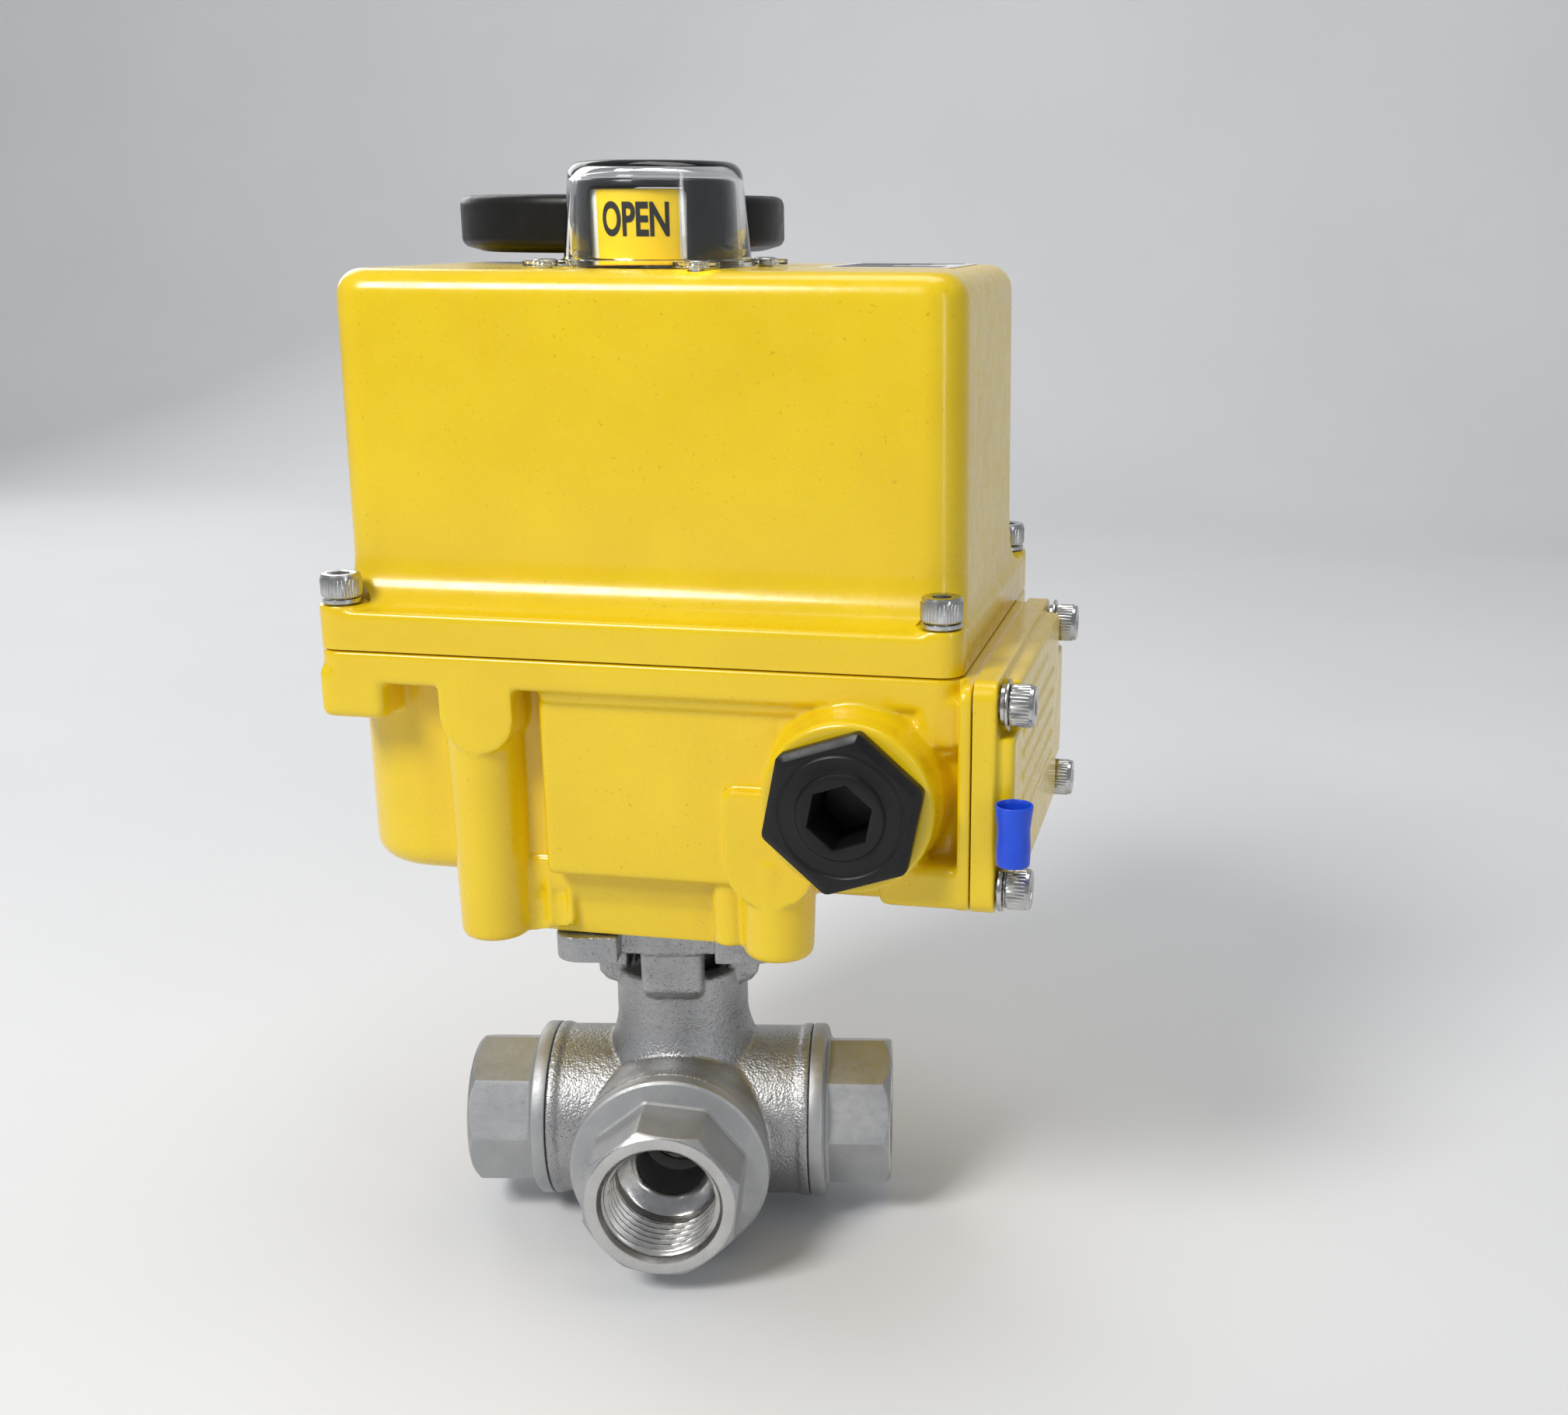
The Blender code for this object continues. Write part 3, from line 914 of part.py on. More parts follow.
def end_cap(name, frame, direction, joint_d, reach, collar_r, turn):
    """Cap along +Z: spigot, round collar, octagon with a chamfered face, tapered mouth and seat bore."""
    s = 24
    flat = OCTAGON_AF / 2.0
    start = joint_d + GAP
    shoulder = start + COLLAR_WIDTH
    loops = [
        ring(11.3 * MM, 13.6 * MM, s, turn=turn),
        ring(11.3 * MM, start, s, turn=turn),
        ring(collar_r, start, s, turn=turn),
        ring(collar_r, shoulder - 1.0 * MM, s, turn=turn),
        ring(collar_r - 0.9 * MM, shoulder - 0.2 * MM, s, turn=turn),
        polygon_ring(8, flat, shoulder, s, turn=turn),
        polygon_ring(8, flat, reach - 1.4 * MM, s, turn=turn),
        ring(flat - 0.3 * MM, reach, s, turn=turn),
        ring(MOUTH_R, reach, s, turn=turn),
        ring(MOUTH_R - 1.2 * MM, reach - 1.3 * MM, s, turn=turn),
        ring(9.0 * MM, start + 0.7 * MM, s, turn=turn),
        ring(BORE_R, start - 1.5 * MM, s, turn=turn),
        ring(BORE_R, 13.6 * MM, s, turn=turn),
    ]
    return make_object(name, aim(loft(loops, closed=True), direction), "cast_stainless", frame)


def seat_ring(name, frame, direction):
    contact = BALL_R + GAP
    profile = [(7.9, 8.12), (7.9, 13.2), (6.2, 13.2), (6.2, 9.5), (7.0, 8.92)]
    seat = turned([(r * MM, z * MM) for r, z in profile], 20)
    lowest = min(math.hypot(r, z) for r, z in profile) * MM
    assert lowest > contact
    return make_object(name, aim(seat, direction), "ptfe", frame)


def ball(frame):
    bm = bmesh.new()
    bmesh.ops.create_uvsphere(bm, u_segments=20, v_segments=12, radius=BALL_R)
    item = make_object("ball", bm, "stainless", frame)
    front = aim(cylinder(BORE_R, -1.6 * MM, 14 * MM, 18), (0, -1, 0))
    side = aim(cylinder(BORE_R, -1.9 * MM, 14 * MM, 16), (-1, 0, 0))
    passage = make_object("cut_ball_front", front, parent=frame)
    branch = make_object("cut_ball_side", side, parent=frame)
    corner = bmesh.new()
    bmesh.ops.create_uvsphere(corner, u_segments=14, v_segments=9, radius=BORE_R + 0.6 * MM)
    elbow = make_object("cut_ball_elbow", corner, parent=frame)
    slot = make_object("cut_ball_slot", block(-2.4 * MM, 2.4 * MM, -12.3 * MM, 12.1 * MM, 8.6 * MM, 14 * MM), parent=frame)
    for cutter in (passage, branch, elbow, slot):
        cut(item, cutter)
    return item


def stem(frame):
    profile = [(0.0, 11.4 * MM), (STEM_R - 0.3 * MM, 11.4 * MM), (STEM_R, 12.0 * MM), (STEM_R, 38.0 * MM), (0.0, 38.0 * MM)]
    item = make_object("stem", turned(profile, 16), "stainless", frame)
    tang = block(-2.0 * MM, 2.0 * MM, -3.2 * MM, 3.2 * MM, 9.0 * MM, 13.0 * MM)
    fuse(item, make_object("stem_tang", tang, parent=frame))
    half = SQUARE_AF / 2.0
    square = block(-half, half, -half, half, 37.0 * MM, 54.0 * MM, 0.5 * MM, 1)
    fuse(item, make_object("stem_square", square, parent=frame))
    return item


def gland(frame):
    inner = STEM_R + GAP
    packing = turned([(inner, 26.4 * MM), (6.4 * MM, 26.4 * MM), (6.4 * MM, 30.4 * MM), (inner, 30.4 * MM)], 20)
    make_object("stem_packing", packing, "ptfe", frame)
    s = 24
    loops = [ring(inner, 31.0 * MM, s), polygon_ring(6, 7.2 * MM, 31.0 * MM, s), polygon_ring(6, 7.2 * MM, 35.8 * MM, s),
             ring(inner, 35.8 * MM, s)]
    make_object("gland_nut", loft(loops, closed=True), "stainless", frame)


def pad_screws(frame):
    for index, (u, v) in enumerate(((-1, -1), (-1, 1), (1, -1), (1, 1))):
        bm = socket_screw("screw", 4.1 * MM, 4.0 * MM, 2.5 * MM, 13.0 * MM, 3.0 * MM)
        make_object(f"pad_screw_{index + 1}", bm, "stainless", frame,
                    (u * PAD_SCREW, v * PAD_SCREW, PAD_SEAT_Z + GAP))


def build_valve():
    frame = bpy.data.objects.new("valve_frame", None)
    bpy.context.scene.collection.objects.link(frame)
    frame.rotation_euler = (0.0, 0.0, VALVE_TURN)
    valve_body(frame)
    end_cap("left_end_cap", frame, (-1, 0, 0), JOINT_D, PORT_REACH, SIDE_COLLAR_R, 0.0)
    end_cap("right_end_cap", frame, (1, 0, 0), JOINT_D, PORT_REACH, SIDE_COLLAR_R, 0.0)
    end_cap("front_end_cap", frame, (0, -1, 0), FRONT_JOINT_D, FRONT_REACH, FRONT_COLLAR_R, math.radians(15.5))
    for name, direction in (("left_seat", (-1, 0, 0)), ("right_seat", (1, 0, 0)), ("front_seat", (0, -1, 0))):
        seat_ring(name, frame, direction)
    ball(frame)
    stem(frame)
    gland(frame)
    pad_screws(frame)


def build_actuator():
    base_housing()
    cover()
    cover_gasket()
    terminal_cover()
    terminal_gasket()
    casing_screws()
    cable_plug()
    ground_terminal()
    rating_plate()
    indicator_dome()
    indicator_shroud()
    indicator_drum()
    handwheel()
    drive_train()
    reduction_gears()
    gear_plate()
    electrics()


clear_scene()
build_actuator()
build_valve()
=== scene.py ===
"""Electric quarter-turn actuator on a three-way ball valve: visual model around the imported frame."""

import math

import bmesh
import bpy
from mathutils import Matrix, Vector
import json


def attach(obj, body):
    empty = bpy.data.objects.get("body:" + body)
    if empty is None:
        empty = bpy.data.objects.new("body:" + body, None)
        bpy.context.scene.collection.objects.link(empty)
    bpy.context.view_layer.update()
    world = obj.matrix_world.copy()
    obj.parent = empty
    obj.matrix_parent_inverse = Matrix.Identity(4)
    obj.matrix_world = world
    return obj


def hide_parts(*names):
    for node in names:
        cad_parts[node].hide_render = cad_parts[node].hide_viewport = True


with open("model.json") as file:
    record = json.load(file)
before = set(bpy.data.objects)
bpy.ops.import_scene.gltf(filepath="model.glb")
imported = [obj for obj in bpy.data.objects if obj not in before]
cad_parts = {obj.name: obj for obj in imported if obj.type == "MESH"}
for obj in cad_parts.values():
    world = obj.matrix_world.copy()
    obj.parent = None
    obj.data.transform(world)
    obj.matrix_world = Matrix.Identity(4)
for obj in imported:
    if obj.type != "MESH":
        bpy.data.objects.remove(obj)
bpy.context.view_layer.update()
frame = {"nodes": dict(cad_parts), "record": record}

MM = 0.001
TAU = 2.0 * math.pi
VALVE_TURN = math.radians(10.0)
HOUSING = "housing"
DRIVE = "drive_train"
WHEEL_BODY = "manual_drive"

# ---- dimensions shared with the solids (metres) ---------------------------------------------
CASE_X = 2.0 * MM
FLANGE_HALF_X = 56.0 * MM
FLANGE_FRONT, FLANGE_REAR = -30.0 * MM, 54.5 * MM
SEAM_Z = 95.6 * MM
COVER_LOW = 95.9 * MM
FLANGE_TOP_Z = 102.7 * MM
SCREW_SEAT_Z = 103.2 * MM
COVER_TOP_Z = 158.3 * MM
COVER_HALF_X = 54.0 * MM
COVER_FRONT, COVER_REAR = -20.2 * MM, 42.0 * MM
COVER_DRAFT = 0.5 * MM
SCREW_PLACES = [(CASE_X + side * 52.0 * MM, y * MM) for y in (-26.0, 50.5) for side in (-1, 1)]
WHEEL = Vector((-21.0 * MM, 44.0 * MM, 0.0))
TOWER_R = 12.5 * MM
HUB_Z = 43.6 * MM
FLOOR_Z = 57.0 * MM
CONDUIT = Vector((40.7 * MM, -38.5 * MM, 75.6 * MM))
FRAME_X = 60.1 * MM
FRAME_FRONT, FRAME_REAR, FRAME_LOW = -33.8 * MM, 39.9 * MM, 57.0 * MM
TERMINAL_SCREWS = [(y * MM, z * MM) for y in (-29.6, 35.7) for z in (61.0, 92.0)]
TERMINAL_WINDOW = (-24.0 * MM, 30.0 * MM, 64.5 * MM, 88.0 * MM)
EAR_RING, EAR_TURN = 19.6 * MM, math.radians(36.0)
EAR_ANGLES = [EAR_TURN + math.pi / 2 * i for i in range(4)]
EAR_PLACES = [(EAR_RING * math.cos(angle), EAR_RING * math.sin(angle)) for angle in EAR_ANGLES]
PAD_SCREW = 14.85 * MM                  # half the square of the pad's screws
CAVITY_LEFT, CAVITY_RIGHT, CAVITY_FRONT = -48.5 * MM, 52.5 * MM, -16.8 * MM
INSET = 0.05 * MM                       # how far the castings' outlines stay inside the solids
BOLT_HOLE_R = 2.3 * MM
TOWER_BORE_R = 8.4 * MM
M4_HEAD = (3.5 * MM, 4.0 * MM, 3.0 * MM)    # radius, height and key of the socket heads
M4_SHANK_R = 2.0 * MM
SHARP_HEAD = 28.0                       # degrees above which a bolt head's edge stays sharp


# ---- materials ------------------------------------------------------------------------------
class Look:
    """Node graph of one procedural material, in object coordinates."""

    def __init__(self, name):
        self.material = bpy.data.materials.new(name)
        self.material.use_nodes = True
        self.tree = self.material.node_tree
        self.shader = self.tree.nodes["Principled BSDF"]
        self.coords = self.tree.nodes.new("ShaderNodeTexCoord").outputs["Object"]
        self.last_bump = None

    def node(self, kind, inputs=None, **settings):
        item = self.tree.nodes.new(kind)
        for key, value in settings.items():
            setattr(item, key, value)
        for key, value in (inputs or {}).items():
            if isinstance(value, bpy.types.NodeSocket):
                self.tree.links.new(value, item.inputs[key])
            else:
                item.inputs[key].default_value = value
        return item

    def noise(self, scale, detail=3.0, roughness=0.55, vector=None):
        inputs = {"Scale": scale, "Detail": detail, "Roughness": roughness, "Vector": vector or self.coords}
        return self.node("ShaderNodeTexNoise", inputs).outputs["Fac"]

    def stretched(self, scale):
        return self.node("ShaderNodeMapping", {"Vector": self.coords, "Scale": scale}).outputs["Vector"]

    def voronoi(self, scale):
        inputs = {"Scale": scale, "Vector": self.coords}
        return self.node("ShaderNodeTexVoronoi", inputs, feature="F1").outputs["Distance"]

    def ramp(self, value, low, high, at=(0.3, 0.7)):
        inputs = {"Value": value, "From Min": at[0], "From Max": at[1], "To Min": low, "To Max": high}
        return self.node("ShaderNodeMapRange", inputs).outputs["Result"]

    def blend(self, share, first, second):
        item = self.node("ShaderNodeMix", data_type="RGBA")
        self.tree.links.new(share, item.inputs["Factor"])
        for socket, value in ((item.inputs[6], first), (item.inputs[7], second)):
            if isinstance(value, bpy.types.NodeSocket):
                self.tree.links.new(value, socket)
            else:
                socket.default_value = (*value, 1.0)
        return item.outputs[2]

    def set(self, socket, value):
        if isinstance(value, bpy.types.NodeSocket):
            self.tree.links.new(value, self.shader.inputs[socket])
        elif isinstance(value, tuple):
            self.shader.inputs[socket].default_value = (*value, 1.0)
        else:
            self.shader.inputs[socket].default_value = value

    def drift(self, scale, dark, light, detail=4.0):
        """A colour that drifts between two along a noise."""
        return self.blend(self.ramp(self.noise(scale, detail), 0.0, 1.0), dark, light)

    def finish(self, scale, smooth, rough, detail=4.0, roughness=0.55):
        self.set("Roughness", self.ramp(self.noise(scale, detail, roughness), smooth, rough))

    def bump(self, height, strength, distance):
        inputs = {"Height": height, "Strength": strength, "Distance": distance}
        if self.last_bump is not None:
            inputs["Normal"] = self.last_bump
        self.last_bump = self.node("ShaderNodeBump", inputs).outputs["Normal"]
        self.tree.links.new(self.last_bump, self.shader.inputs["Normal"])


def powder_coat():
    look = Look("yellow_powder_coat")
    body = look.drift(45.0, (0.80, 0.550, 0.003), (0.85, 0.605, 0.004), 2.0)
    specks = look.ramp(look.noise(1500.0, 1.0), 1.0, 0.0, (0.22, 0.30))
    look.set("Base Color", look.blend(specks, body, (0.66, 0.42, 0.006)))
    look.finish(220.0, 0.20, 0.34)
    look.set("Coat Weight", 0.35)
    look.set("Coat Roughness", 0.12)
    look.bump(look.noise(420.0, 2.0, 0.5), 0.15, 0.00022)
    look.bump(look.noise(1700.0, 2.0, 0.5), 0.14, 0.00006)
    return look.material


def cast_steel():
    look = Look("cast_stainless")
    skin = look.drift(70.0, (0.36, 0.365, 0.38), (0.50, 0.50, 0.50))
    pits = look.ramp(look.noise(2600.0, 2.0), 1.0, 0.0, (0.28, 0.40))
    look.set("Base Color", look.blend(pits, skin, (0.20, 0.20, 0.21)))
    look.set("Metallic", 1.0)
    look.finish(500.0, 0.36, 0.56, 5.0, 0.7)
    look.bump(look.noise(1000.0, 3.0, 0.6), 0.75, 0.00020)
    look.bump(look.voronoi(2100.0), 0.55, 0.00014)
    return look.material


def blasted_steel():
    """Fine cast skin of the screwed-in caps."""
    look = Look("blasted_stainless")
    skin = look.drift(90.0, (0.40, 0.41, 0.425), (0.50, 0.505, 0.51))
    pits = look.ramp(look.noise(3600.0, 2.0), 1.0, 0.0, (0.26, 0.36))
    look.set("Base Color", look.blend(pits, skin, (0.30, 0.30, 0.31)))
    look.set("Metallic", 0.85)
    look.finish(700.0, 0.44, 0.58)
    look.bump(look.noise(1500.0, 3.0, 0.6), 0.38, 0.00007)
    return look.material


def turned_metal(name, light):
    look = Look(name)
    dark = tuple(channel * 0.82 for channel in light)
    look.set("Base Color", look.drift(160.0, dark, light))
    look.set("Metallic", 1.0)
    look.finish(600.0, 0.20, 0.36)
    look.bump(look.noise(1.0, 3.0, 0.6, look.stretched((60.0, 60.0, 4200.0))), 0.12, 0.00003)
    look.bump(look.noise(1800.0, 2.0), 0.12, 0.00003)
    return look.material


def bright_steel():
    look = Look("bright_stainless")
    look.set("Base Color", look.drift(400.0, (0.44, 0.44, 0.43), (0.62, 0.61, 0.60), 3.0))
    look.set("Metallic", 1.0)
    look.finish(900.0, 0.14, 0.30)
    look.bump(look.noise(2600.0, 2.0), 0.15, 0.00003)
    return look.material


def moulding(name, dark, light, roughness, grain=1800.0, strength=0.25, shine=0.5):
    look = Look(name)
    look.set("Specular IOR Level", shine)
    look.set("Base Color", look.drift(90.0, dark, light))
    look.finish(350.0, *roughness)
    look.bump(look.noise(grain, 3.0), strength, 0.00005)
    return look.material


def clear_plastic():
    look = Look("clear_polycarbonate")
    look.set("Base Color", (0.97, 0.98, 0.98))
    look.set("Transmission Weight", 1.0)
    look.set("IOR", 1.49)
    look.finish(300.0, 0.015, 0.045, 3.0)
    look.bump(look.noise(160.0, 2.0), 0.04, 0.0001)
    passed = look.node("ShaderNodeBsdfTransparent", {"Color": (0.94, 0.95, 0.95, 1.0)}).outputs["BSDF"]
    shadow = look.node("ShaderNodeLightPath").outputs["Is Shadow Ray"]
    mix = look.node("ShaderNodeMixShader", {"Fac": shadow})
    look.tree.links.new(look.shader.outputs["BSDF"], mix.inputs[1])
    look.tree.links.new(passed, mix.inputs[2])
    look.tree.links.new(mix.outputs["Shader"], look.tree.nodes["Material Output"].inputs["Surface"])
    return look.material


def thread_steel():
    look = Look("thread_stainless")
    look.set("Base Color", look.drift(500.0, (0.46, 0.45, 0.43), (0.58, 0.57, 0.55)))
    look.set("Metallic", 1.0)
    look.finish(1400.0, 0.26, 0.38)
    look.bump(look.noise(3000.0, 2.0), 0.06, 0.00002)
    return look.material


def foil_label():
    look = Look("silver_foil")
    look.set("Base Color", look.drift(60.0, (0.72, 0.73, 0.74), (0.80, 0.80, 0.80), 3.0))
    look.set("Metallic", 0.7)
    look.finish(700.0, 0.28, 0.42)
    look.bump(look.noise(1.0, 2.0, 0.5, look.stretched((40.0, 3500.0, 40.0))), 0.10, 0.00003)
    return look.material


YELLOW = powder_coat()
CAST = cast_steel()
BLASTED = blasted_steel()
MACHINED = turned_metal("machined_stainless", (0.60, 0.60, 0.60))
BRIGHT = bright_steel()
THREAD = thread_steel()
BLACK = moulding("black_plastic", (0.005, 0.005, 0.006), (0.011, 0.011, 0.012), (0.30, 0.44), shine=0.28)
WHEEL_BLACK = moulding("black_wheel", (0.005, 0.005, 0.005), (0.010, 0.010, 0.010), (0.30, 0.44),
                       1400.0, 0.35, 0.28)
GLOSS_BLACK = moulding("black_shroud", (0.004, 0.004, 0.005), (0.007, 0.007, 0.008), (0.14, 0.24),
                       900.0, 0.08)
DRUM_YELLOW = moulding("indicator_yellow", (0.80, 0.53, 0.003), (0.85, 0.58, 0.004), (0.42, 0.56),
                       1500.0, 0.12, 0.35)
INK = moulding("printed_black", (0.008, 0.008, 0.008), (0.014, 0.014, 0.014), (0.50, 0.62),
               2400.0, 0.12, 0.30)
BLUE = moulding("blue_vinyl", (0.004, 0.055, 0.62), (0.008, 0.085, 0.75), (0.28, 0.40), 1300.0, 0.15)
RUBBER = moulding("seal_rubber", (0.018, 0.018, 0.018), (0.030, 0.030, 0.030), (0.65, 0.82), 1600.0, 0.4)
WHITE = moulding("white_moulding", (0.68, 0.68, 0.65), (0.80, 0.80, 0.77), (0.35, 0.50))
GREEN = moulding("solder_mask", (0.008, 0.10, 0.035), (0.012, 0.15, 0.05), (0.30, 0.42), 1200.0, 0.2)
PTFE = moulding("fluoropolymer", (0.74, 0.74, 0.71), (0.84, 0.84, 0.81), (0.38, 0.52), 1500.0, 0.2)
BRASS = turned_metal("turned_brass", (0.72, 0.50, 0.20))
STEEL = turned_metal("turned_steel", (0.42, 0.42, 0.44))
CLEAR = clear_plastic()
FOIL = foil_label()
LABEL_WHITE = moulding("label_white", (0.76, 0.77, 0.79), (0.84, 0.85, 0.86), (0.30, 0.42), 1600.0, 0.10)
LABEL_BLUE = moulding("label_blue", (0.02, 0.07, 0.30), (0.03, 0.10, 0.38), (0.30, 0.42), 1600.0, 0.10)


# ---- mesh helpers ---------------------------------------------------------------------------
def make(name, bm, material, body=HOUSING, nodes=(), sharp=38.0):
    """A new piece from a bmesh in the row frame, riding on a body and standing for CAD nodes."""
    bmesh.ops.recalc_face_normals(bm, faces=bm.faces)
    mesh = bpy.data.meshes.new(name)
    bm.to_mesh(mesh)
    bm.free()
    mesh.shade_smooth()
    mesh.set_sharp_from_angle(angle=math.radians(sharp))
    item = bpy.data.objects.new(name, mesh)
    bpy.context.scene.collection.objects.link(item)
    for entry in material if isinstance(material, list) else [material]:
        mesh.materials.append(entry)
    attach(item, body)
    if nodes:
        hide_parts(*nodes)


def steel_piece(name, bm, body=HOUSING, nodes=(), sharp=38.0):
    """A small bright steel piece."""
    make(name, bm, BRIGHT, body, nodes, sharp)


def spare(bm, name="tool"):
    """A working object that isn't kept."""
    bmesh.ops.recalc_face_normals(bm, faces=bm.faces)
    mesh = bpy.data.meshes.new(name)
    bm.to_mesh(mesh)
    bm.free()
    item = bpy.data.objects.new(name, mesh)
    bpy.context.scene.collection.objects.link(item)
    return item


def evaluated(item):
    """The object's mesh with its modifiers applied, as a bmesh; the object is removed."""
    graph = bpy.context.evaluated_depsgraph_get()
    graph.update()
    bm = bmesh.new()
    bm.from_mesh(item.evaluated_get(graph).to_mesh())
    mesh = item.data
    bpy.data.objects.remove(item, do_unlink=True)
    bpy.data.meshes.remove(mesh)
    return bm


def merged(parts):
    """One bmesh holding several, as separate shells."""
    whole = bmesh.new()
    for part in parts:
        mesh = bpy.data.meshes.new("part")
        bmesh.ops.recalc_face_normals(part, faces=part.faces)
        part.to_mesh(mesh)
        part.free()
        whole.from_mesh(mesh)
        bpy.data.meshes.remove(mesh)
    return whole


def cast_shape(parts, voxel, passes, cutters):
    """Melts closed shells into one casting with soft fillets, then machines the cutters out of it."""
    item = spare(merged(parts), "melt")
    melt = item.modifiers.new("melt", "REMESH")
    melt.mode = "VOXEL"
    melt.voxel_size = voxel
    melt.use_smooth_shade = True
    soft = item.modifiers.new("soft", "SMOOTH")
    soft.factor = 0.5
    soft.iterations = passes
    return machined(evaluated(item), cutters, "MANIFOLD")


def machined(bm, cutters, solver="EXACT", operation="DIFFERENCE"):
    """The solid with the cutters taken out of it, or joined to it, one after another."""
    item = spare(bm, "blank")
    tools = []
    for cutter in cutters:
        tool = spare(cutter)
        modifier = item.modifiers.new("cut", "BOOLEAN")
        modifier.operation = operation
        modifier.solver = solver
        modifier.object = tool
        tools.append(tool)
    result = evaluated(item)
    for tool in tools:
        bpy.data.objects.remove(tool, do_unlink=True)
    return result


def loft(loops, closed=False):
    bm = bmesh.new()
    rings = [[bm.verts.new(point) for point in loop] for loop in loops]
    count = len(rings[0])
    pairs = list(zip(rings, rings[1:]))
    if closed:
        pairs.append((rings[-1], rings[0]))
    for lower, upper in pairs:
        for i in range(count):
            j = (i + 1) % count
            bm.faces.new((lower[i], lower[j], upper[j], upper[i]))
    if not closed:
        bm.faces.new(rings[0])
        bm.faces.new(rings[-1])
    return bm


def ring(radius, z, segments, centre=(0.0, 0.0)):
    angles = [TAU * i / segments for i in range(segments)]
    return [(centre[0] + radius * math.cos(angle), centre[1] + radius * math.sin(angle), z)
            for angle in angles]


def hexagon(flat, z, segments, corner=1.0):
    """A hexagon given by half its width across flats; corner is the largest radius of its corners."""
    points = []
    for i in range(segments):
        angle = TAU * i / segments
        within = (angle % (TAU / 6)) - math.pi / 6
        radius = min(flat / math.cos(within), corner)
        points.append((radius * math.cos(angle), radius * math.sin(angle), z))
    return points


def rings_mm(segments, *rows):
    """Circles given as (radius, z) and hexagons given as (half width, z, corner), in mm."""
    loops = []
    for size, z, *corner in rows:
        if corner:
            loops.append(hexagon(size * MM, z * MM, segments, corner[0] * MM))
        else:
            loops.append(ring(size * MM, z * MM, segments))
    return loops


def soften(outline, radius, steps):
    """Rounds the corners of a closed (r, z) outline; a corner on the axis stays."""
    result = []
    count = len(outline)
    for index in range(count):
        here = Vector(outline[index])
        before = Vector(outline[index - 1])
        after = Vector(outline[(index + 1) % count])
        if here.x < 1e-9:
            result.append(tuple(here))
            continue
        back, forth = before - here, after - here
        reach = min(radius, back.length * 0.45, forth.length * 0.45)
        if reach < 1e-6 or abs(back.angle(forth, math.pi) - math.pi) < 0.15:
            result.append(tuple(here))
            continue
        first, last = here + back.normalized() * reach, here + forth.normalized() * reach
        for step in range(steps + 1):
            share = step / steps
            point = first * (1 - share) ** 2 + here * 2 * share * (1 - share) + last * share ** 2
            result.append(tuple(point))
    return result


def turned(profile, segments=64, centre=(0.0, 0.0)):
    bm = bmesh.new()
    rings = []
    for radius, z in profile:
        if radius < 1e-9:
            rings.append([bm.verts.new((centre[0], centre[1], z))])
        else:
            rings.append([bm.verts.new(point) for point in ring(radius, z, segments, centre)])
    for lower, upper in zip(rings, rings[1:] + rings[:1]):
        for i in range(segments):
            j = (i + 1) % segments
            if len(lower) > 1 and len(upper) > 1:
                bm.faces.new((lower[i], lower[j], upper[j], upper[i]))
            elif len(upper) > 1:
                bm.faces.new((lower[0], upper[j], upper[i]))
            elif len(lower) > 1:
                bm.faces.new((lower[i], lower[j], upper[0]))
    return bm


def turned_mm(profile, round_mm=0.3, segments=64, centre=(0.0, 0.0), steps=3):
    outline = soften([(r * MM, z * MM) for r, z in profile], round_mm * MM, steps)
    return turned(outline, segments, centre)


def cylinder(radius, z0, z1, segments=48, centre=(0.0, 0.0)):
    return loft([ring(radius, z0, segments, centre), ring(radius, z1, segments, centre)])


def rounded_rect(x0, x1, y0, y1, radius, z, steps=8):
    points = []
    corners = ((x1 - radius, y1 - radius), (x0 + radius, y1 - radius),
               (x0 + radius, y0 + radius), (x1 - radius, y0 + radius))
    for quarter, (cx, cy) in enumerate(corners):
        for i in range(steps + 1):
            angle = math.pi / 2.0 * (quarter + i / steps)
            points.append((cx + radius * math.cos(angle), cy + radius * math.sin(angle), z))
    return points


def block(x0, x1, y0, y1, z0, z1, edge=0.0, segments=3):
    bm = bmesh.new()
    bmesh.ops.create_cube(bm, size=1.0)
    size = Matrix.Diagonal((x1 - x0, y1 - y0, z1 - z0, 1.0))
    bm.transform(Matrix.Translation(((x0 + x1) / 2, (y0 + y1) / 2, (z0 + z1) / 2)) @ size)
    if edge:
        bmesh.ops.bevel(bm, geom=list(bm.edges), offset=edge, segments=segments, profile=0.5, affect="EDGES")
    return bm


def block_mm(x0, x1, y0, y1, z0, z1, edge=0.0, segments=3):
    return block(x0 * MM, x1 * MM, y0 * MM, y1 * MM, z0 * MM, z1 * MM, edge * MM, segments)


def aim(bm, direction, at=(0.0, 0.0, 0.0), roll=0.0):
    turn = Vector((0.0, 0.0, 1.0)).rotation_difference(Vector(direction)).to_matrix().to_4x4()
    bm.transform(Matrix.Translation(at) @ turn @ Matrix.Rotation(roll, 4, "Z"))
    return bm


def turn_z(bm, angle):
    bm.transform(Matrix.Rotation(angle, 4, "Z"))
    return bm


def in_valve(bm):
    return turn_z(bm, VALVE_TURN)


# ---- casing: base ---------------------------------------------------------------------------
CASE_LEFT, CASE_RIGHT = CASE_X - FLANGE_HALF_X, CASE_X + FLANGE_HALF_X


def flange_outline(inset, z):
    return rounded_rect(CASE_LEFT + inset, CASE_RIGHT - inset,
                        FLANGE_FRONT + inset, FLANGE_REAR - inset, 4 * MM, z)


def pad_screw_places():
    turn = Matrix.Rotation(VALVE_TURN, 2)
    return [tuple(turn @ Vector((u * PAD_SCREW, v * PAD_SCREW))) for u in (-1, 1) for v in (-1, 1)]


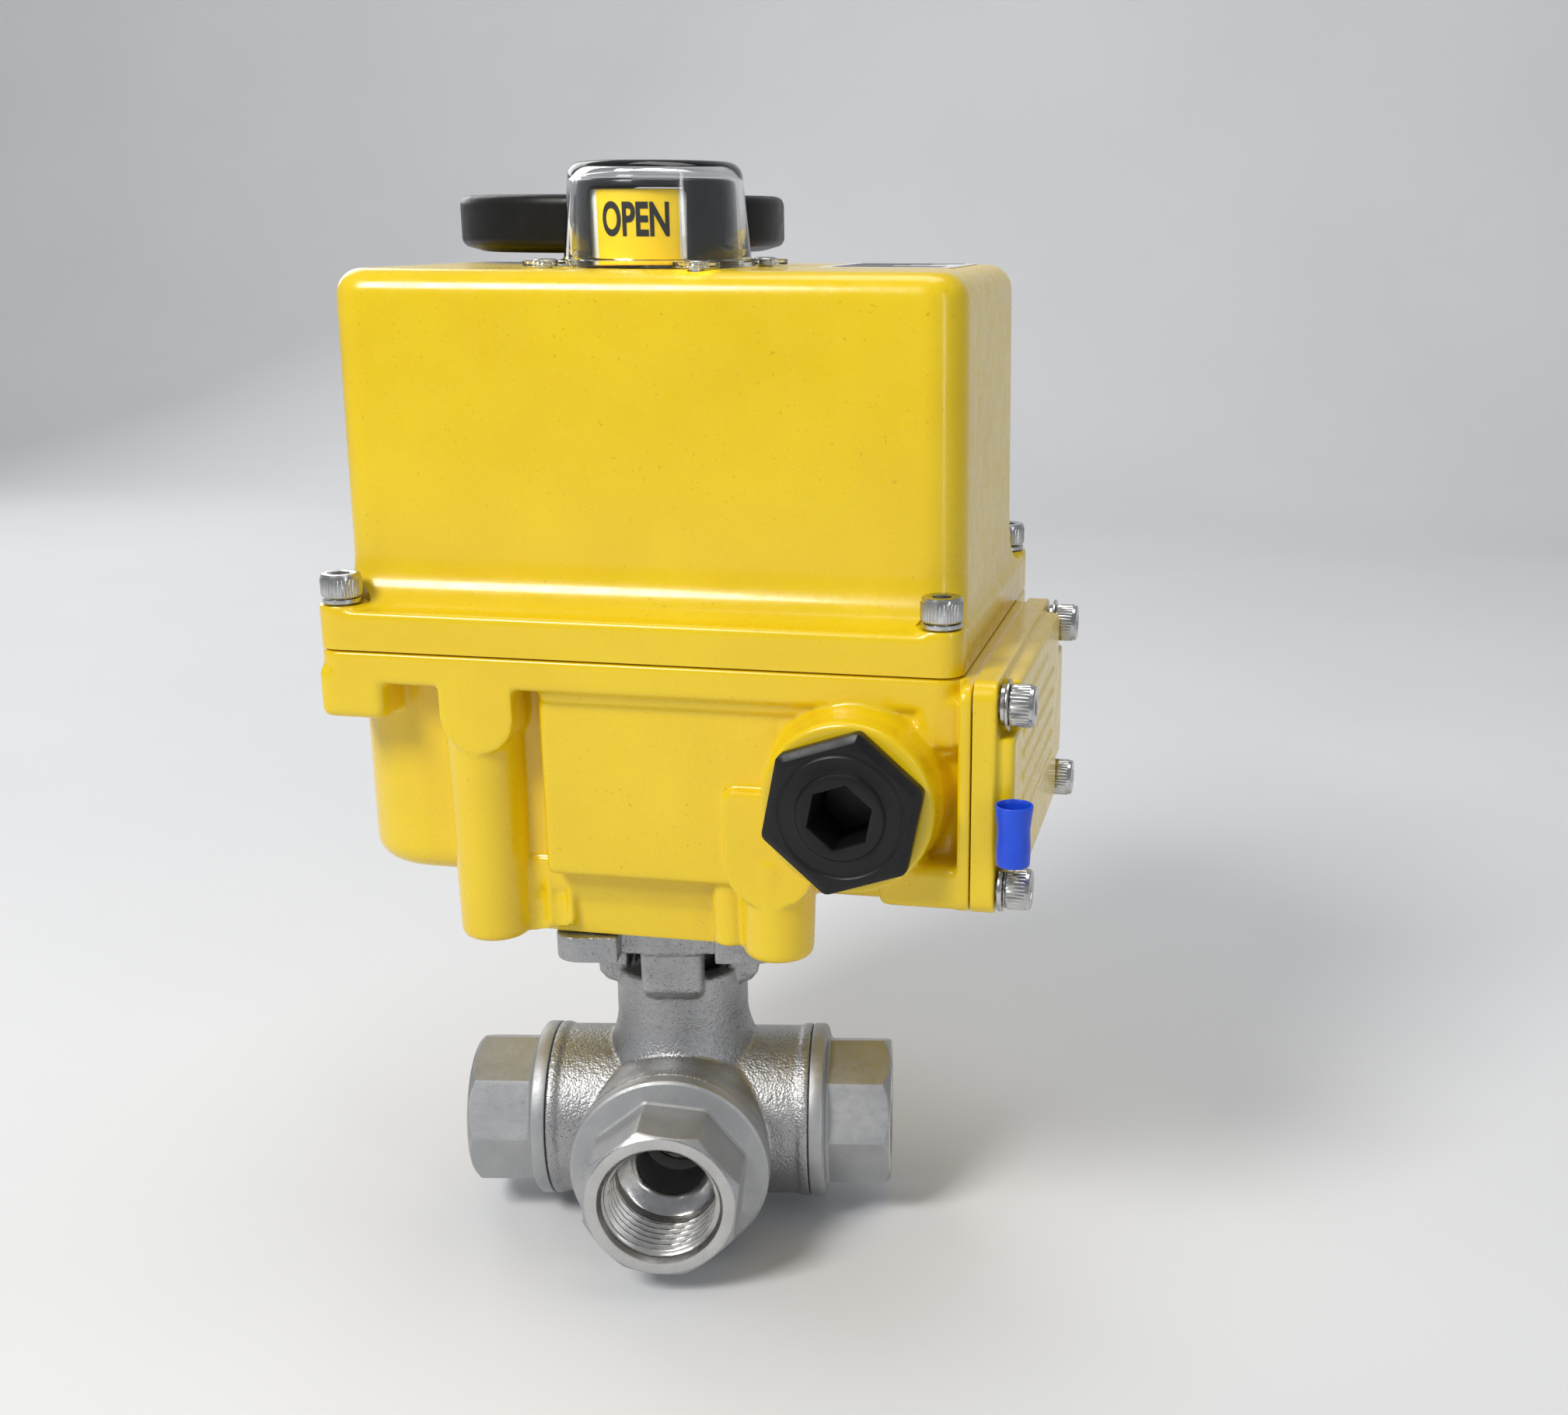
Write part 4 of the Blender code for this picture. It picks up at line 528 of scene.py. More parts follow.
def cavity(rear, corner, low, high):
    """The space inside the casing, up to a rear wall."""
    return loft([rounded_rect(CAVITY_LEFT, CAVITY_RIGHT, CAVITY_FRONT, rear, corner, z)
                 for z in (low, high)])


def half_round(x, z, across, down, steps):
    """The lower half of an ellipse, in mm; it starts on the side that across points to."""
    angles = [math.pi * i / steps for i in range(steps + 1)]
    return [(x + across * math.cos(angle), z - down * math.sin(angle)) for angle in angles]


def upright_slab(outline, depths):
    """An (x, z) outline in mm carried from one y to another."""
    return loft([[(x * MM, y, z * MM) for x, z in outline] for y in depths])


def side_slab(outline, depths):
    """A loop of (y, z, _) points in metres carried from one x to another."""
    return loft([[(x, y, z) for y, z, _ in outline] for x in depths])


def build_base():
    flange = loft([flange_outline(0.5 * MM, 90.1 * MM), flange_outline(INSET, 90.9 * MM),
                   flange_outline(INSET, SEAM_Z)])

    def outline(offset, z):
        return rounded_rect(-53.8 * MM + offset, 57 * MM - offset, -22 * MM + offset, 46 * MM - offset,
                            12 * MM - 0.6 * offset, z)

    chamber = []
    bend = 4.5
    for step in range(7):
        angle = math.pi / 2 * step / 6
        chamber.append(outline(bend * MM * (1 - math.sin(angle)), (53.5 + bend * (1 - math.cos(angle))) * MM))
    chamber.append(outline(0.0, 92 * MM))
    parts = [flange, loft(chamber)]
    lugs = ((CASE_LEFT, CASE_LEFT + 12 * MM, FLANGE_FRONT, -19 * MM),
            (CASE_RIGHT - 7.8 * MM, CASE_RIGHT, FLANGE_FRONT, -19 * MM),
            (CASE_LEFT, CASE_LEFT + 10 * MM, 42 * MM, FLANGE_REAR),
            (CASE_RIGHT - 10 * MM, CASE_RIGHT, 42 * MM, FLANGE_REAR))
    for left, right, front, rear in lugs:
        parts.append(block(left + INSET, right - INSET, front + INSET, rear - INSET,
                           83.7 * MM, 93 * MM, 1.6 * MM))
    parts.append(block_mm(-15.5, 27, -27, -18.5, 56.6, 92, 1.2))
    parts.append(block_mm(-15.0, 44.0, -28.4, -18.5, 87.6, 92, 1.5))
    hub = ((25.0, 20.6, 43.65), (25.8, 21.4, 50), (26.3, 22.5, 53), (26.5, 22.8, 58))
    parts.append(loft([rounded_rect(-x * MM, (x - 1.2) * MM, -y * MM, y * MM, 9 * MM, z * MM)
                       for x, y, z in hub]))
    for side, row, top in ((-1, -1, 91.0), (1, -1, 62.0), (-1, 1, 60.0), (1, 1, 60.0)):
        centre = ((-0.8 + side * 26.1) * MM, row * 23 * MM)
        foot = [ring(r * MM, HUB_Z + z * MM, 40, centre) for r, z in ((4.8, 0.02), (5.7, 0.35), (6.15, 1.2))]
        parts.append(loft(foot + [ring(6.85 * MM, top * MM, 40, centre)]))
    tongue = [(-18.8, 92.5), (-32, 92.5)]
    tongue += half_round(-25.4, 85.2, -6.6, 6.6, 16)
    parts.append(upright_slab(tongue, (FLANGE_FRONT + INSET, -20 * MM)))
    rib = [(0, 45), (3.2, 45), (3.2, 57.5), (2.4, 59.2), (0, 60)]
    parts.append(turned_mm(rib, 0.6, 28, (16.6 * MM, -22.6 * MM)))
    apron = [(17.4, 73.2), (18.6, 74.4), (32.0, 74.4), (33.2, 73.2)]
    apron += half_round(25.3, 61.5, 7.9, 7.5, 14)
    parts.append(upright_slab(apron, (-29.5 * MM, -20 * MM)))
    web = ((-27, 43.65), (-20, 44.0), (-12.6, 45.6))
    parts.append(loft([[(x * MM, y * MM, z * MM) for x, z in (*web, (-12.6, top), (-27, top))]
                       for y, top in ((-22.3, 50), (-20.6, 56), (-15, 58))]))
    for x, low in ((-20.5, 45.0), (-16.8, 45.6), (-12.9, 46.4)):
        parts.append(cylinder(0.75 * MM, low * MM, 56.5 * MM, 16, (x * MM, -22.1 * MM)))
    parts.append(block_mm(26, 57.2, -27.0, -18, 62, 91, 1.5))
    parts.append(block_mm(42, 57.5, -28.6, -20, 82, 92, 1.5))
    boss = turned_mm([(0, 0), (14.45, 0), (14.45, 19.3), (13.9, 19.95), (0, 19.95)], 0.4, 72)
    parts.append(aim(boss, (0, -1, 0), (CONDUIT.x, CONDUIT.y + 20 * MM, CONDUIT.z)))
    skirt = turned_mm([(0, 0), (17.6, 0), (16.2, 4.0), (15.2, 8.0), (14.4, 12.0), (0, 12.0)], 0.8, 72)
    parts.append(aim(skirt, (0, -1, 0), (CONDUIT.x, CONDUIT.y + 17 * MM, CONDUIT.z)))
    parts.append(block_mm(44, 58.5, -26.6, 39, 57.8, 92.4, 2.0))
    terminal_frame = rounded_rect(FRAME_FRONT + INSET, FRAME_REAR - INSET,
                                  FRAME_LOW + INSET, SEAM_Z - INSET, 3 * MM, 0.0)
    parts.append(side_slab(terminal_frame, (58.0 * MM, FRAME_X)))
    parts.append(block_mm(44.8, 59, -33.3, -24, 57.45, 65, 1.6))
    parts.append(cylinder(TOWER_R, 60 * MM, SEAM_Z - INSET, 56, (WHEEL.x, WHEEL.y)))

    cutters = [
        block(-80 * MM, 80 * MM, -60 * MM, 80 * MM, SEAM_Z, 120 * MM),
        block(FRAME_X, 80 * MM, -60 * MM, 80 * MM, 40 * MM, 120 * MM),
        block(-60 * MM, 60 * MM, -60 * MM, 60 * MM, 20 * MM, HUB_Z),
        cavity(42.8 * MM, 8 * MM, FLOOR_Z, 100 * MM),
        cylinder(TOWER_BORE_R, 65 * MM, 100 * MM, 36, (WHEEL.x, WHEEL.y)),
        cylinder(9.4 * MM, 40 * MM, 52 * MM, 48),
        cylinder(11.3 * MM, 47 * MM, 60 * MM, 48),
        aim(cylinder(9.6 * MM, 0, 26 * MM, 56), (0, 1, 0), (CONDUIT.x, CONDUIT.y - 1 * MM, CONDUIT.z)),
        side_slab(rounded_rect(*TERMINAL_WINDOW, 3 * MM, 0.0), (48 * MM, 64 * MM)),
    ]
    for place in SCREW_PLACES:
        cutters.append(cylinder(BOLT_HOLE_R, 86 * MM, 100 * MM, 20, place))
    for y, z in TERMINAL_SCREWS:
        cutters.append(aim(cylinder(BOLT_HOLE_R, 0, 8 * MM, 20), (1, 0, 0), (FRAME_X - 1.7 * MM, y, z)))
    for place in pad_screw_places():
        cutters.append(cylinder(2.6 * MM, 40 * MM, 60 * MM, 20, place))
        cutters.append(cylinder(4.4 * MM, 52.4 * MM, 62 * MM, 28, place))
    bm = cast_shape(parts, 0.42 * MM, 7, cutters)
    make("casing_base", bm, YELLOW, nodes=["base_housing"])


# ---- casing: cover --------------------------------------------------------------------------
COVER_CORNER = 6.5 * MM
COVER_EDGE = 4.4 * MM                   # radius round the top
QUARTER = [math.pi / 2 * step / 8 for step in range(9)]


def cover_outline(side, depth, corner, z):
    """The cover's outline, grown sideways and front to back."""
    return rounded_rect(CASE_X - COVER_HALF_X - side, CASE_X + COVER_HALF_X + side,
                        COVER_FRONT - depth, COVER_REAR + depth, corner, z, 12)


def build_cover():
    low = COVER_LOW - 1 * MM
    rim = [(COVER_EDGE * (1 - math.cos(angle)), COVER_TOP_Z - COVER_EDGE * (1 - math.sin(angle)))
           for angle in QUARTER[1:]]

    def wall(z, pull=0.0):
        share = (COVER_TOP_Z - z) / (COVER_TOP_Z - FLANGE_TOP_Z)
        grow = COVER_DRAFT * share - pull
        return cover_outline(grow, grow, max(COVER_CORNER - pull, 2.4 * MM), z)

    body = [wall(low), wall(COVER_TOP_Z - COVER_EDGE)] + [wall(z, pull) for pull, z in rim]
    fillet = []
    for angle in QUARTER:
        reach = 1 - math.sin(angle)
        fillet.append(cover_outline(COVER_DRAFT + reach * MM, COVER_DRAFT + reach * 7.6 * MM,
                                    COVER_CORNER - reach * 1.5 * MM,
                                    FLANGE_TOP_Z - 0.3 * MM + (1 - math.cos(angle)) * 7.0 * MM))
    fillet.insert(0, [(x, y, low) for x, y, _ in fillet[0]])
    flange = loft([flange_outline(INSET, z) for z in (low, FLANGE_TOP_Z - 0.1 * MM)])
    side = [(0, low), (TOWER_R, low), (TOWER_R, COVER_TOP_Z - COVER_EDGE)]
    side += [(TOWER_R - pull, z) for pull, z in rim]
    tower = turned(side + [(0, COVER_TOP_Z)], 64, (WHEEL.x, WHEEL.y))
    parts = [loft(body), loft(fillet), flange, tower]
    for place in SCREW_PLACES:
        parts.append(cylinder(3.95 * MM, low, SCREW_SEAT_Z + 0.35 * MM, 40, place))
    cutters = [
        block(-80 * MM, 80 * MM, -60 * MM, 80 * MM, 80 * MM, COVER_LOW),
        cavity(38.8 * MM, 4 * MM, 90 * MM, 155.3 * MM),
        cylinder(TOWER_BORE_R, 90 * MM, 148 * MM, 36, (WHEEL.x, WHEEL.y)),
        cylinder(5.6 * MM, 146 * MM, 160 * MM, 36, (WHEEL.x, WHEEL.y)),
        cylinder(5.8 * MM, 150 * MM, 160 * MM, 36),
    ]
    for place in SCREW_PLACES:
        cutters.append(cylinder(BOLT_HOLE_R, 90 * MM, 110 * MM, 20, place))
        cutters.append(cylinder(4.6 * MM, SCREW_SEAT_Z, 113 * MM, 40, place))
    for place in EAR_PLACES:
        cutters.append(cylinder(1.5 * MM, 156 * MM, 160 * MM, 16, place))
    bm = cast_shape(parts, 0.5 * MM, 7, cutters)
    make("casing_cover", bm, YELLOW, nodes=["cover"])


# ---- casing: terminal cover -----------------------------------------------------------------
def build_terminal_cover():
    y0, y1, z0, z1 = FRAME_FRONT, FRAME_REAR, FRAME_LOW, 96.3 * MM
    inner = FRAME_X + 0.3 * MM
    plate = side_slab(rounded_rect(y0 + INSET, y1 - INSET, z0 + INSET, z1 - INSET, 3 * MM, 0.0),
                      (inner - 1 * MM, 64.25 * MM))
    panel = block(62 * MM, 67.1 * MM, y0 + 1.3 * MM, y1 - 1.3 * MM, z0 + 1.3 * MM, z1 - 1.3 * MM, 1.1 * MM)
    notches = []
    for y, z in TERMINAL_SCREWS:
        out_y = -1.0 if y < 0 else 1.0
        out_z = -1.0 if z < 75 * MM else 1.0
        ys = sorted((y - out_y * 4.9 * MM, y + out_y * 9 * MM))
        zs = sorted((z - out_z * 4.9 * MM, z + out_z * 9 * MM))
        notches.append(block(64.3 * MM, 72 * MM, ys[0], ys[1], zs[0], zs[1]))
    parts = [plate, machined(panel, notches)]
    for row in range(5):
        z = (69.0 + row * 4.0) * MM
        parts.append(block(66 * MM, 67.5 * MM, -22 * MM, 22 * MM, z, z + 1.5 * MM, 0.35 * MM))
    parts.append(block(66 * MM, 67.5 * MM, -12 * MM, 12 * MM, 89 * MM, 91.2 * MM, 0.35 * MM))
    cutters = [block(50 * MM, inner, -60 * MM, 60 * MM, 40 * MM, 110 * MM)]
    wy0, wy1, wz0, wz1 = TERMINAL_WINDOW
    cutters.append(block(58 * MM, 65 * MM, wy0 + 2 * MM, wy1 - 2 * MM, wz0 + 2 * MM, wz1 - 2 * MM))
    for y, z in TERMINAL_SCREWS:
        cutters.append(aim(cylinder(BOLT_HOLE_R, 0, 9 * MM, 20), (1, 0, 0), (FRAME_X - 1 * MM, y, z)))
    bm = cast_shape(parts, 0.36 * MM, 5, cutters)
    make("casing_terminal_cover", bm, YELLOW, nodes=["terminal_cover"])


# ---- fasteners ------------------------------------------------------------------------------
KNURLS = 40
KNURL_DEPTH = 0.955                     # radius of a groove as a share of the head's


def screw_head(head_r, head_h, key_af, shank_r, shank_l):
    """Socket head with a knurled band: seat at z = 0, shank below."""
    segments = KNURLS * 2

    def rings(*rows):
        return [ring(radius, z, segments) for radius, z in rows]

    def knurled(z):
        depth = [KNURL_DEPTH if i % 2 else 1.0 for i in range(segments)]
        return [(x * share, y * share, z) for share, (x, y, _) in zip(depth, ring(head_r, z, segments))]

    flat = key_af / 2
    loops = rings((shank_r, -shank_l), (shank_r, 0.0), (head_r * 0.94, 0.0), (head_r * 0.97, 0.15 * MM))
    loops += [knurled(0.5 * MM), knurled(head_h * 0.76)]
    loops += rings((head_r * 0.965, head_h * 0.82), (head_r * 0.955, head_h * 0.93),
                   (head_r * 0.90, head_h * 0.985), (head_r * 0.84, head_h), (flat * 1.32, head_h))
    loops += [hexagon(flat * 1.02, head_h - 0.12 * MM, segments, flat * 1.25),
              hexagon(flat, head_h - 0.35 * MM, segments), hexagon(flat, head_h * 0.48, segments),
              ring(flat * 0.5, head_h * 0.40, segments)]
    return loft(loops)


def spring_washer(height):
    """A split ring whose ends step past each other."""
    outer_r, inner_r, segments = 3.35 * MM, 2.2 * MM, 60
    rim = 0.12 * MM
    section = [(inner_r, 0), (outer_r - rim, 0), (outer_r, rim), (outer_r, height - rim),
               (outer_r - rim, height), (inner_r, height)]
    loops = []
    for i in range(segments + 1):
        angle = TAU * (0.01 + 0.975 * i / segments)
        lift = height * 0.35 * (i / segments - 0.5)
        loops.append([(r * math.cos(angle), r * math.sin(angle), z + lift + height * 0.18)
                      for r, z in section])
    return loft(loops)


def build_screws():
    for index, (x, y) in enumerate(SCREW_PLACES):
        number = index + 1
        bolt = screw_head(*M4_HEAD, M4_SHANK_R, 18 * MM)
        aim(bolt, (0, 0, 1), (x, y, SCREW_SEAT_Z + 1.3 * MM), 0.4 * index)
        steel_piece(f"cover_bolt_{number}", bolt, nodes=[f"cover_screw_{number}"], sharp=SHARP_HEAD)
        washer = aim(spring_washer(0.8 * MM), (0, 0, 1), (x, y, SCREW_SEAT_Z + 0.12 * MM), 2.0 + index)
        steel_piece(f"cover_spring_washer_{number}", washer)
    for index, (y, z) in enumerate(TERMINAL_SCREWS):
        number = index + 1
        bolt = aim(screw_head(*M4_HEAD, M4_SHANK_R, 7.3 * MM), (1, 0, 0), (66.0 * MM, y, z), 0.5 * index)
        steel_piece(f"terminal_bolt_{number}", bolt, nodes=[f"terminal_screw_{number}"], sharp=SHARP_HEAD)
        # the first one holds the ground lug in place of a flat washer
        start, height = (64.4, 0.8) if index else (65.55, 0.32)
        washer = aim(spring_washer(height * MM), (1, 0, 0), (start * MM, y, z), 1.0 + index)
        steel_piece(f"terminal_spring_washer_{number}", washer)
        if index:
            flat = turned_mm([(2.3, 0), (4.3, 0), (4.3, 0.45), (2.3, 0.45)], 0.1, 48)
            steel_piece(f"terminal_flat_washer_{number}", aim(flat, (1, 0, 0), (65.45 * MM, y, z)))


# ---- cable plug -----------------------------------------------------------------------------
def build_plug():
    key = 9.0                           # more than the key's corners: they aren't cut
    loops = rings_mm(
        144, (9.25, -12), (9.25, 0.0),
        (11.7, 0.32, 13.35), (12.05, 0.5, 13.75), (12.15, 0.9, 13.75), (12.15, 2.75, 13.75),
        (12.07, 2.95, 13.75), (11.0, 3.75, 13.75), (10.8, 3.8, 12.85),
        (10.45, 3.8), (10.35, 3.72), (10.1, 3.62), (9.85, 3.72), (9.75, 3.8), (7.7, 3.8), (7.45, 3.9),
        (7.3, 4.2), (7.0, 4.5), (6.6, 4.58), (5.95, 4.6),
        (4.9, 4.5, key), (4.75, 4.2, key), (4.7, -5.4, key), (4.35, -5.8, key))
    bm = loft(loops)
    turn = Matrix.Rotation(math.radians(-18.5), 4, "Y")
    bm.transform(Matrix.Translation(CONDUIT) @ turn @ Matrix.Rotation(math.pi / 2, 4, "X"))
    make("conduit_plug", bm, BLACK, nodes=["cable_plug"], sharp=24.0)


# ---- ground terminal ------------------------------------------------------------------------
def build_ground():
    y, z = TERMINAL_SCREWS[0]
    washer_x = 64.65 * MM
    half = 1.6 * MM
    lug = turned_mm([(2.4, 0), (3.9, 0), (3.9, 0.8), (2.4, 0.8)], 0.15, 48)
    aim(lug, (1, 0, 0), (washer_x, y, z))
    path = [(0.0, 1.8, 0.0), (0.1, 3.2, 1.4), (1.1, 4.2, 3.9), (2.5, 5.2, 6.4), (2.6, 6.4, 6.6),
            (2.6, 13.0, 6.6)]
    loops = []
    for out, up, forward in path:
        x = washer_x + out * MM
        middle = y - forward * MM
        corners = ((x, -half), (x + 0.75 * MM, -half), (x + 0.75 * MM, half), (x, half))
        loops.append([(px, middle + py, z + (up + 0.6) * MM) for px, py in corners])
    bm = machined(lug, [loft(loops)], operation="UNION")
    make("ground_tab", bm, BRIGHT, nodes=["ground_lug"])
    at = (washer_x + 3.0 * MM, y - 6.6 * MM)
    base = z / MM
    wall = [(2.3, 6.5), (2.66, 6.4), (2.74, 7.4), (2.76, 9.5), (2.66, 11.4), (2.64, 12.6), (2.86, 14.4),
            (3.06, 15.9), (3.08, 16.5), (2.8, 16.55), (2.62, 15.9), (2.4, 13.6), (2.32, 11.0)]
    sleeve = turned(soften([(r * MM, (base + h) * MM) for r, h in wall], 0.18 * MM, 3), 56, at)
    make("ground_sleeve_tube", sleeve, BLUE, nodes=["ground_sleeve"])


# ---- labels ---------------------------------------------------------------------------------
def build_labels():
    x = -54.1 * MM
    plate = block(x - 0.38 * MM, x, -5.9 * MM, 31.9 * MM, 60.1 * MM, 81.9 * MM, 0.15 * MM)
    make("rating_plate_foil", plate, FOIL, nodes=["rating_plate"])
    rows = ((30.5, 77.5, 80.5), (20, 73.8, 74.6), (26, 71.2, 72.0), (17, 68.6, 69.4), (23, 66.0, 66.8),
            (12, 63.2, 64.0))
    bars = [block(x - 0.41 * MM, x - 0.36 * MM, -4.5 * MM, end * MM, z0 * MM, z1 * MM)
            for end, z0, z1 in rows]
    make("rating_plate_bars", merged(bars), LABEL_BLUE)
    top = COVER_TOP_Z + 0.02 * MM
    loop = rounded_rect(27 * MM, 50 * MM, 4 * MM, 34 * MM, 1.2 * MM, 0.0)
    label = loft([[(px, py, z) for px, py, _ in loop] for z in (top, top + 0.14 * MM)])
    make("top_label", label, LABEL_WHITE)
    rows = ((48, 29, 32), (43, 25.5, 26.3), (46, 22.7, 23.5), (40, 19.9, 20.7), (44, 17.1, 17.9),
            (38, 14.3, 15.1), (48, 6, 11.5))
    bars = [block(29 * MM, end * MM, y0 * MM, y1 * MM, top + 0.12 * MM, top + 0.17 * MM)
            for end, y0, y1 in rows]
    make("top_label_bars", merged(bars), INK)


# ---- indicator ------------------------------------------------------------------------------
def build_dome():
    low, ear_top = 158.6, 159.6
    outer = [(14.85, low), (16.5, low), (16.55, ear_top), (16.05, ear_top + 0.12), (15.85, ear_top + 0.5)]
    top, top_r = 175.4, 14.65
    for step in range(9):
        angle = math.pi / 2 * step / 8
        outer.append((top_r + 0.06 - 2.6 * (1 - math.cos(angle)), top - 2.6 * (1 - math.sin(angle))))
    inner = [(0.0, top), (0.0, top - 1.4)]
    for step in range(7):
        angle = math.pi / 2 * (1 - step / 6)
        inner.append((top_r - 1.05 - 1.7 * (1 - math.cos(angle)), top - 1.4 - 1.7 * (1 - math.sin(angle))))
    dome = turned([(r * MM, z * MM) for r, z in outer + inner], 96)
    ear_low, ear_high = low + 0.02, ear_top - 0.03
    ear = [(0, ear_low), (3.88, ear_low), (3.88, ear_high), (0, ear_high)]
    hole = [(0, 157), (1.5, 157), (1.5, 159.0), (2.3, 159.0), (2.3, 162), (0, 162)]
    ears = [turned_mm(ear, 0.25, 40, place) for place in EAR_PLACES]
    bm = machined(dome, ears, operation="UNION")
    bm = machined(bm, [turned_mm(hole, 0.05, 32, place) for place in EAR_PLACES])
    make("indicator_dome_clear", bm, CLEAR, nodes=["indicator_dome"], sharp=30.0)
    bolt = [(0, -2.9), (1.2, -2.9), (1.2, 0), (2.08, 0), (2.08, 0.3), (1.6, 0.55), (0, 0.58)]
    for index, (x, y) in enumerate(EAR_PLACES):
        head = turned_mm(bolt, 0.12, 40)
        cross = [block_mm(-1.3, 1.3, -0.17, 0.17, 0.25, 1.0), block_mm(-0.17, 0.17, -1.3, 1.3, 0.25, 1.0)]
        head = machined(head, cross)
        aim(head, (0, 0, 1), (x, y, (ear_top - 0.3) * MM), 0.7 * index)
        steel_piece(f"dome_bolt_{index + 1}", head, nodes=[f"dome_screw_{index + 1}"])


INDICATOR_FACING = math.radians(-89.0)


def build_shroud():
    low, top = 158.65, 172.55
    profile = [(12.95, low), (13.85, low), (13.38, top - 0.9), (13.2, top - 0.35), (12.75, top), (0, top),
               (0, top - 0.75), (12.5, top - 0.75), (12.7, top - 1.4)]
    shell = turned([(r * MM, z * MM) for r, z in profile], 96)
    windows = []
    for index in range(2):
        window = block(6 * MM, 18 * MM, -8.25 * MM, 8.25 * MM, 150 * MM, 171.35 * MM)
        across = [e for e in window.edges if abs(e.verts[0].co.x - e.verts[1].co.x) > 1 * MM]
        bmesh.ops.bevel(window, geom=across, offset=1.6 * MM, segments=6, profile=0.5, affect="EDGES")
        windows.append(turn_z(window, INDICATOR_FACING + index * math.pi))
    bm = machined(shell, windows)
    make("indicator_mask", bm, GLOSS_BLACK, nodes=["indicator_shroud"], sharp=30.0)


LETTER_WIDTH = 0.60
LETTER_DEPTH = 0.05 * MM


def wrapped_word(word, facing, radius, height, middle_z):
    """A printed word as thin relief on an upright cylinder."""
    curve = bpy.data.curves.new("word", "FONT")
    curve.body = word
    curve.align_x = "CENTER"
    curve.align_y = "CENTER"
    curve.size = 1.0
    curve.extrude = 0.0
    curve.offset = 0.030
    item = bpy.data.objects.new("word", curve)
    bpy.context.scene.collection.objects.link(item)
    graph = bpy.context.evaluated_depsgraph_get()
    graph.update()
    bm = bmesh.new()
    bm.from_mesh(item.evaluated_get(graph).to_mesh())
    bpy.data.objects.remove(item, do_unlink=True)
    bmesh.ops.remove_doubles(bm, verts=bm.verts, dist=1e-4)
    bmesh.ops.triangulate(bm, faces=bm.faces)
    tops = max(v.co.y for v in bm.verts)
    lows = min(v.co.y for v in bm.verts)
    scale = height / (tops - lows)
    for _ in range(2):
        long_edges = [e for e in bm.edges if abs(e.verts[0].co.x - e.verts[1].co.x) > 0.08]
        bmesh.ops.subdivide_edges(bm, edges=long_edges, cuts=1)
        bmesh.ops.triangulate(bm, faces=bm.faces)
    made = bmesh.ops.extrude_face_region(bm, geom=list(bm.faces))
    raised = [v for v in made["geom"] if isinstance(v, bmesh.types.BMVert)]
    for v in bm.verts:
        v.co.z = 0.0
    for v in raised:
        v.co.z = 1.0
    for v in bm.verts:
        x, y, up = v.co
        angle = facing + x * scale * LETTER_WIDTH / radius
        r = radius + (LETTER_DEPTH if up > 0.5 else -0.02 * MM)
        v.co = (r * math.cos(angle), r * math.sin(angle), middle_z + (y - (tops + lows) / 2) * scale)
    return bm


PANEL_HALF_TURN = math.radians(33.5)    # half of a yellow panel; the drum is white between them


def build_drum():
    low, top = 159.15, 170.85
    profile = [(11.2, low), (12.4, low), (12.35, top), (5.3, top), (5.3, 160.6), (6.6, 160.6),
               (6.6, top - 1.2), (11.2, top - 1.2)]
    drum = turned_mm(profile, 0.25, 144)
    make("indicator_drum_body", drum, [DRUM_YELLOW, WHITE], DRIVE, ["indicator_drum"])
    for polygon in bpy.data.objects["indicator_drum_body"].data.polygons:
        middle = polygon.center
        turn = (math.atan2(middle.y, middle.x) - INDICATOR_FACING + math.pi / 4) % (math.pi / 2) - math.pi / 4
        if abs(turn) > PANEL_HALF_TURN and math.hypot(middle.x, middle.y) > 12.0 * MM:
            polygon.material_index = 1
    for index in range(4):
        word = "OPEN" if index % 2 == 0 else "SHUT"
        bm = wrapped_word(word, INDICATOR_FACING + index * math.pi / 2, 12.39 * MM, 5.7 * MM, 166.0 * MM)
        make(f"indicator_word_{index + 1}", bm, INK, DRIVE)


# ---- handwheel ------------------------------------------------------------------------------
def build_wheel():
    profile = [(3.3, 158.9), (7.6, 158.9), (8.8, 160.3), (26.6, 160.25), (30.3, 161.3), (30.95, 162.3),
               (30.95, 169.0), (30.5, 170.0), (29.4, 170.45), (26.9, 170.45), (25.7, 169.2), (10.0, 168.6),
               (9.0, 169.6), (8.6, 169.8), (3.3, 169.8)]
    bm = turned_mm(profile, 0.9, 128, (WHEEL.x, WHEEL.y), 5)
    angle = math.radians(190)
    out = Vector((math.cos(angle), math.sin(angle), 0.0))
    start = WHEEL + out * 25 * MM + Vector((0, 0, 165.6 * MM))
    bm = machined(bm, [aim(cylinder(1.7 * MM, 0, 8 * MM, 32), out, start)])
    make("handwheel_rim", bm, WHEEL_BLACK, WHEEL_BODY, ["handwheel"], 30.0)
    grub = loft(rings_mm(48, (1.3, 0.35), (1.32, 5.4), (1.2, 5.58), (0.68, 5.58, 1.0), (0.66, 4.4, 1.0)))
    steel_piece("handwheel_set_screw", aim(grub, out, start), WHEEL_BODY, ["handwheel_grub_screw"])


# ---- valve ----------------------------------------------------------------------------------
JOINT, FRONT_JOINT = 24.7, 23.2         # joint planes of the body, in mm from the ball's centre


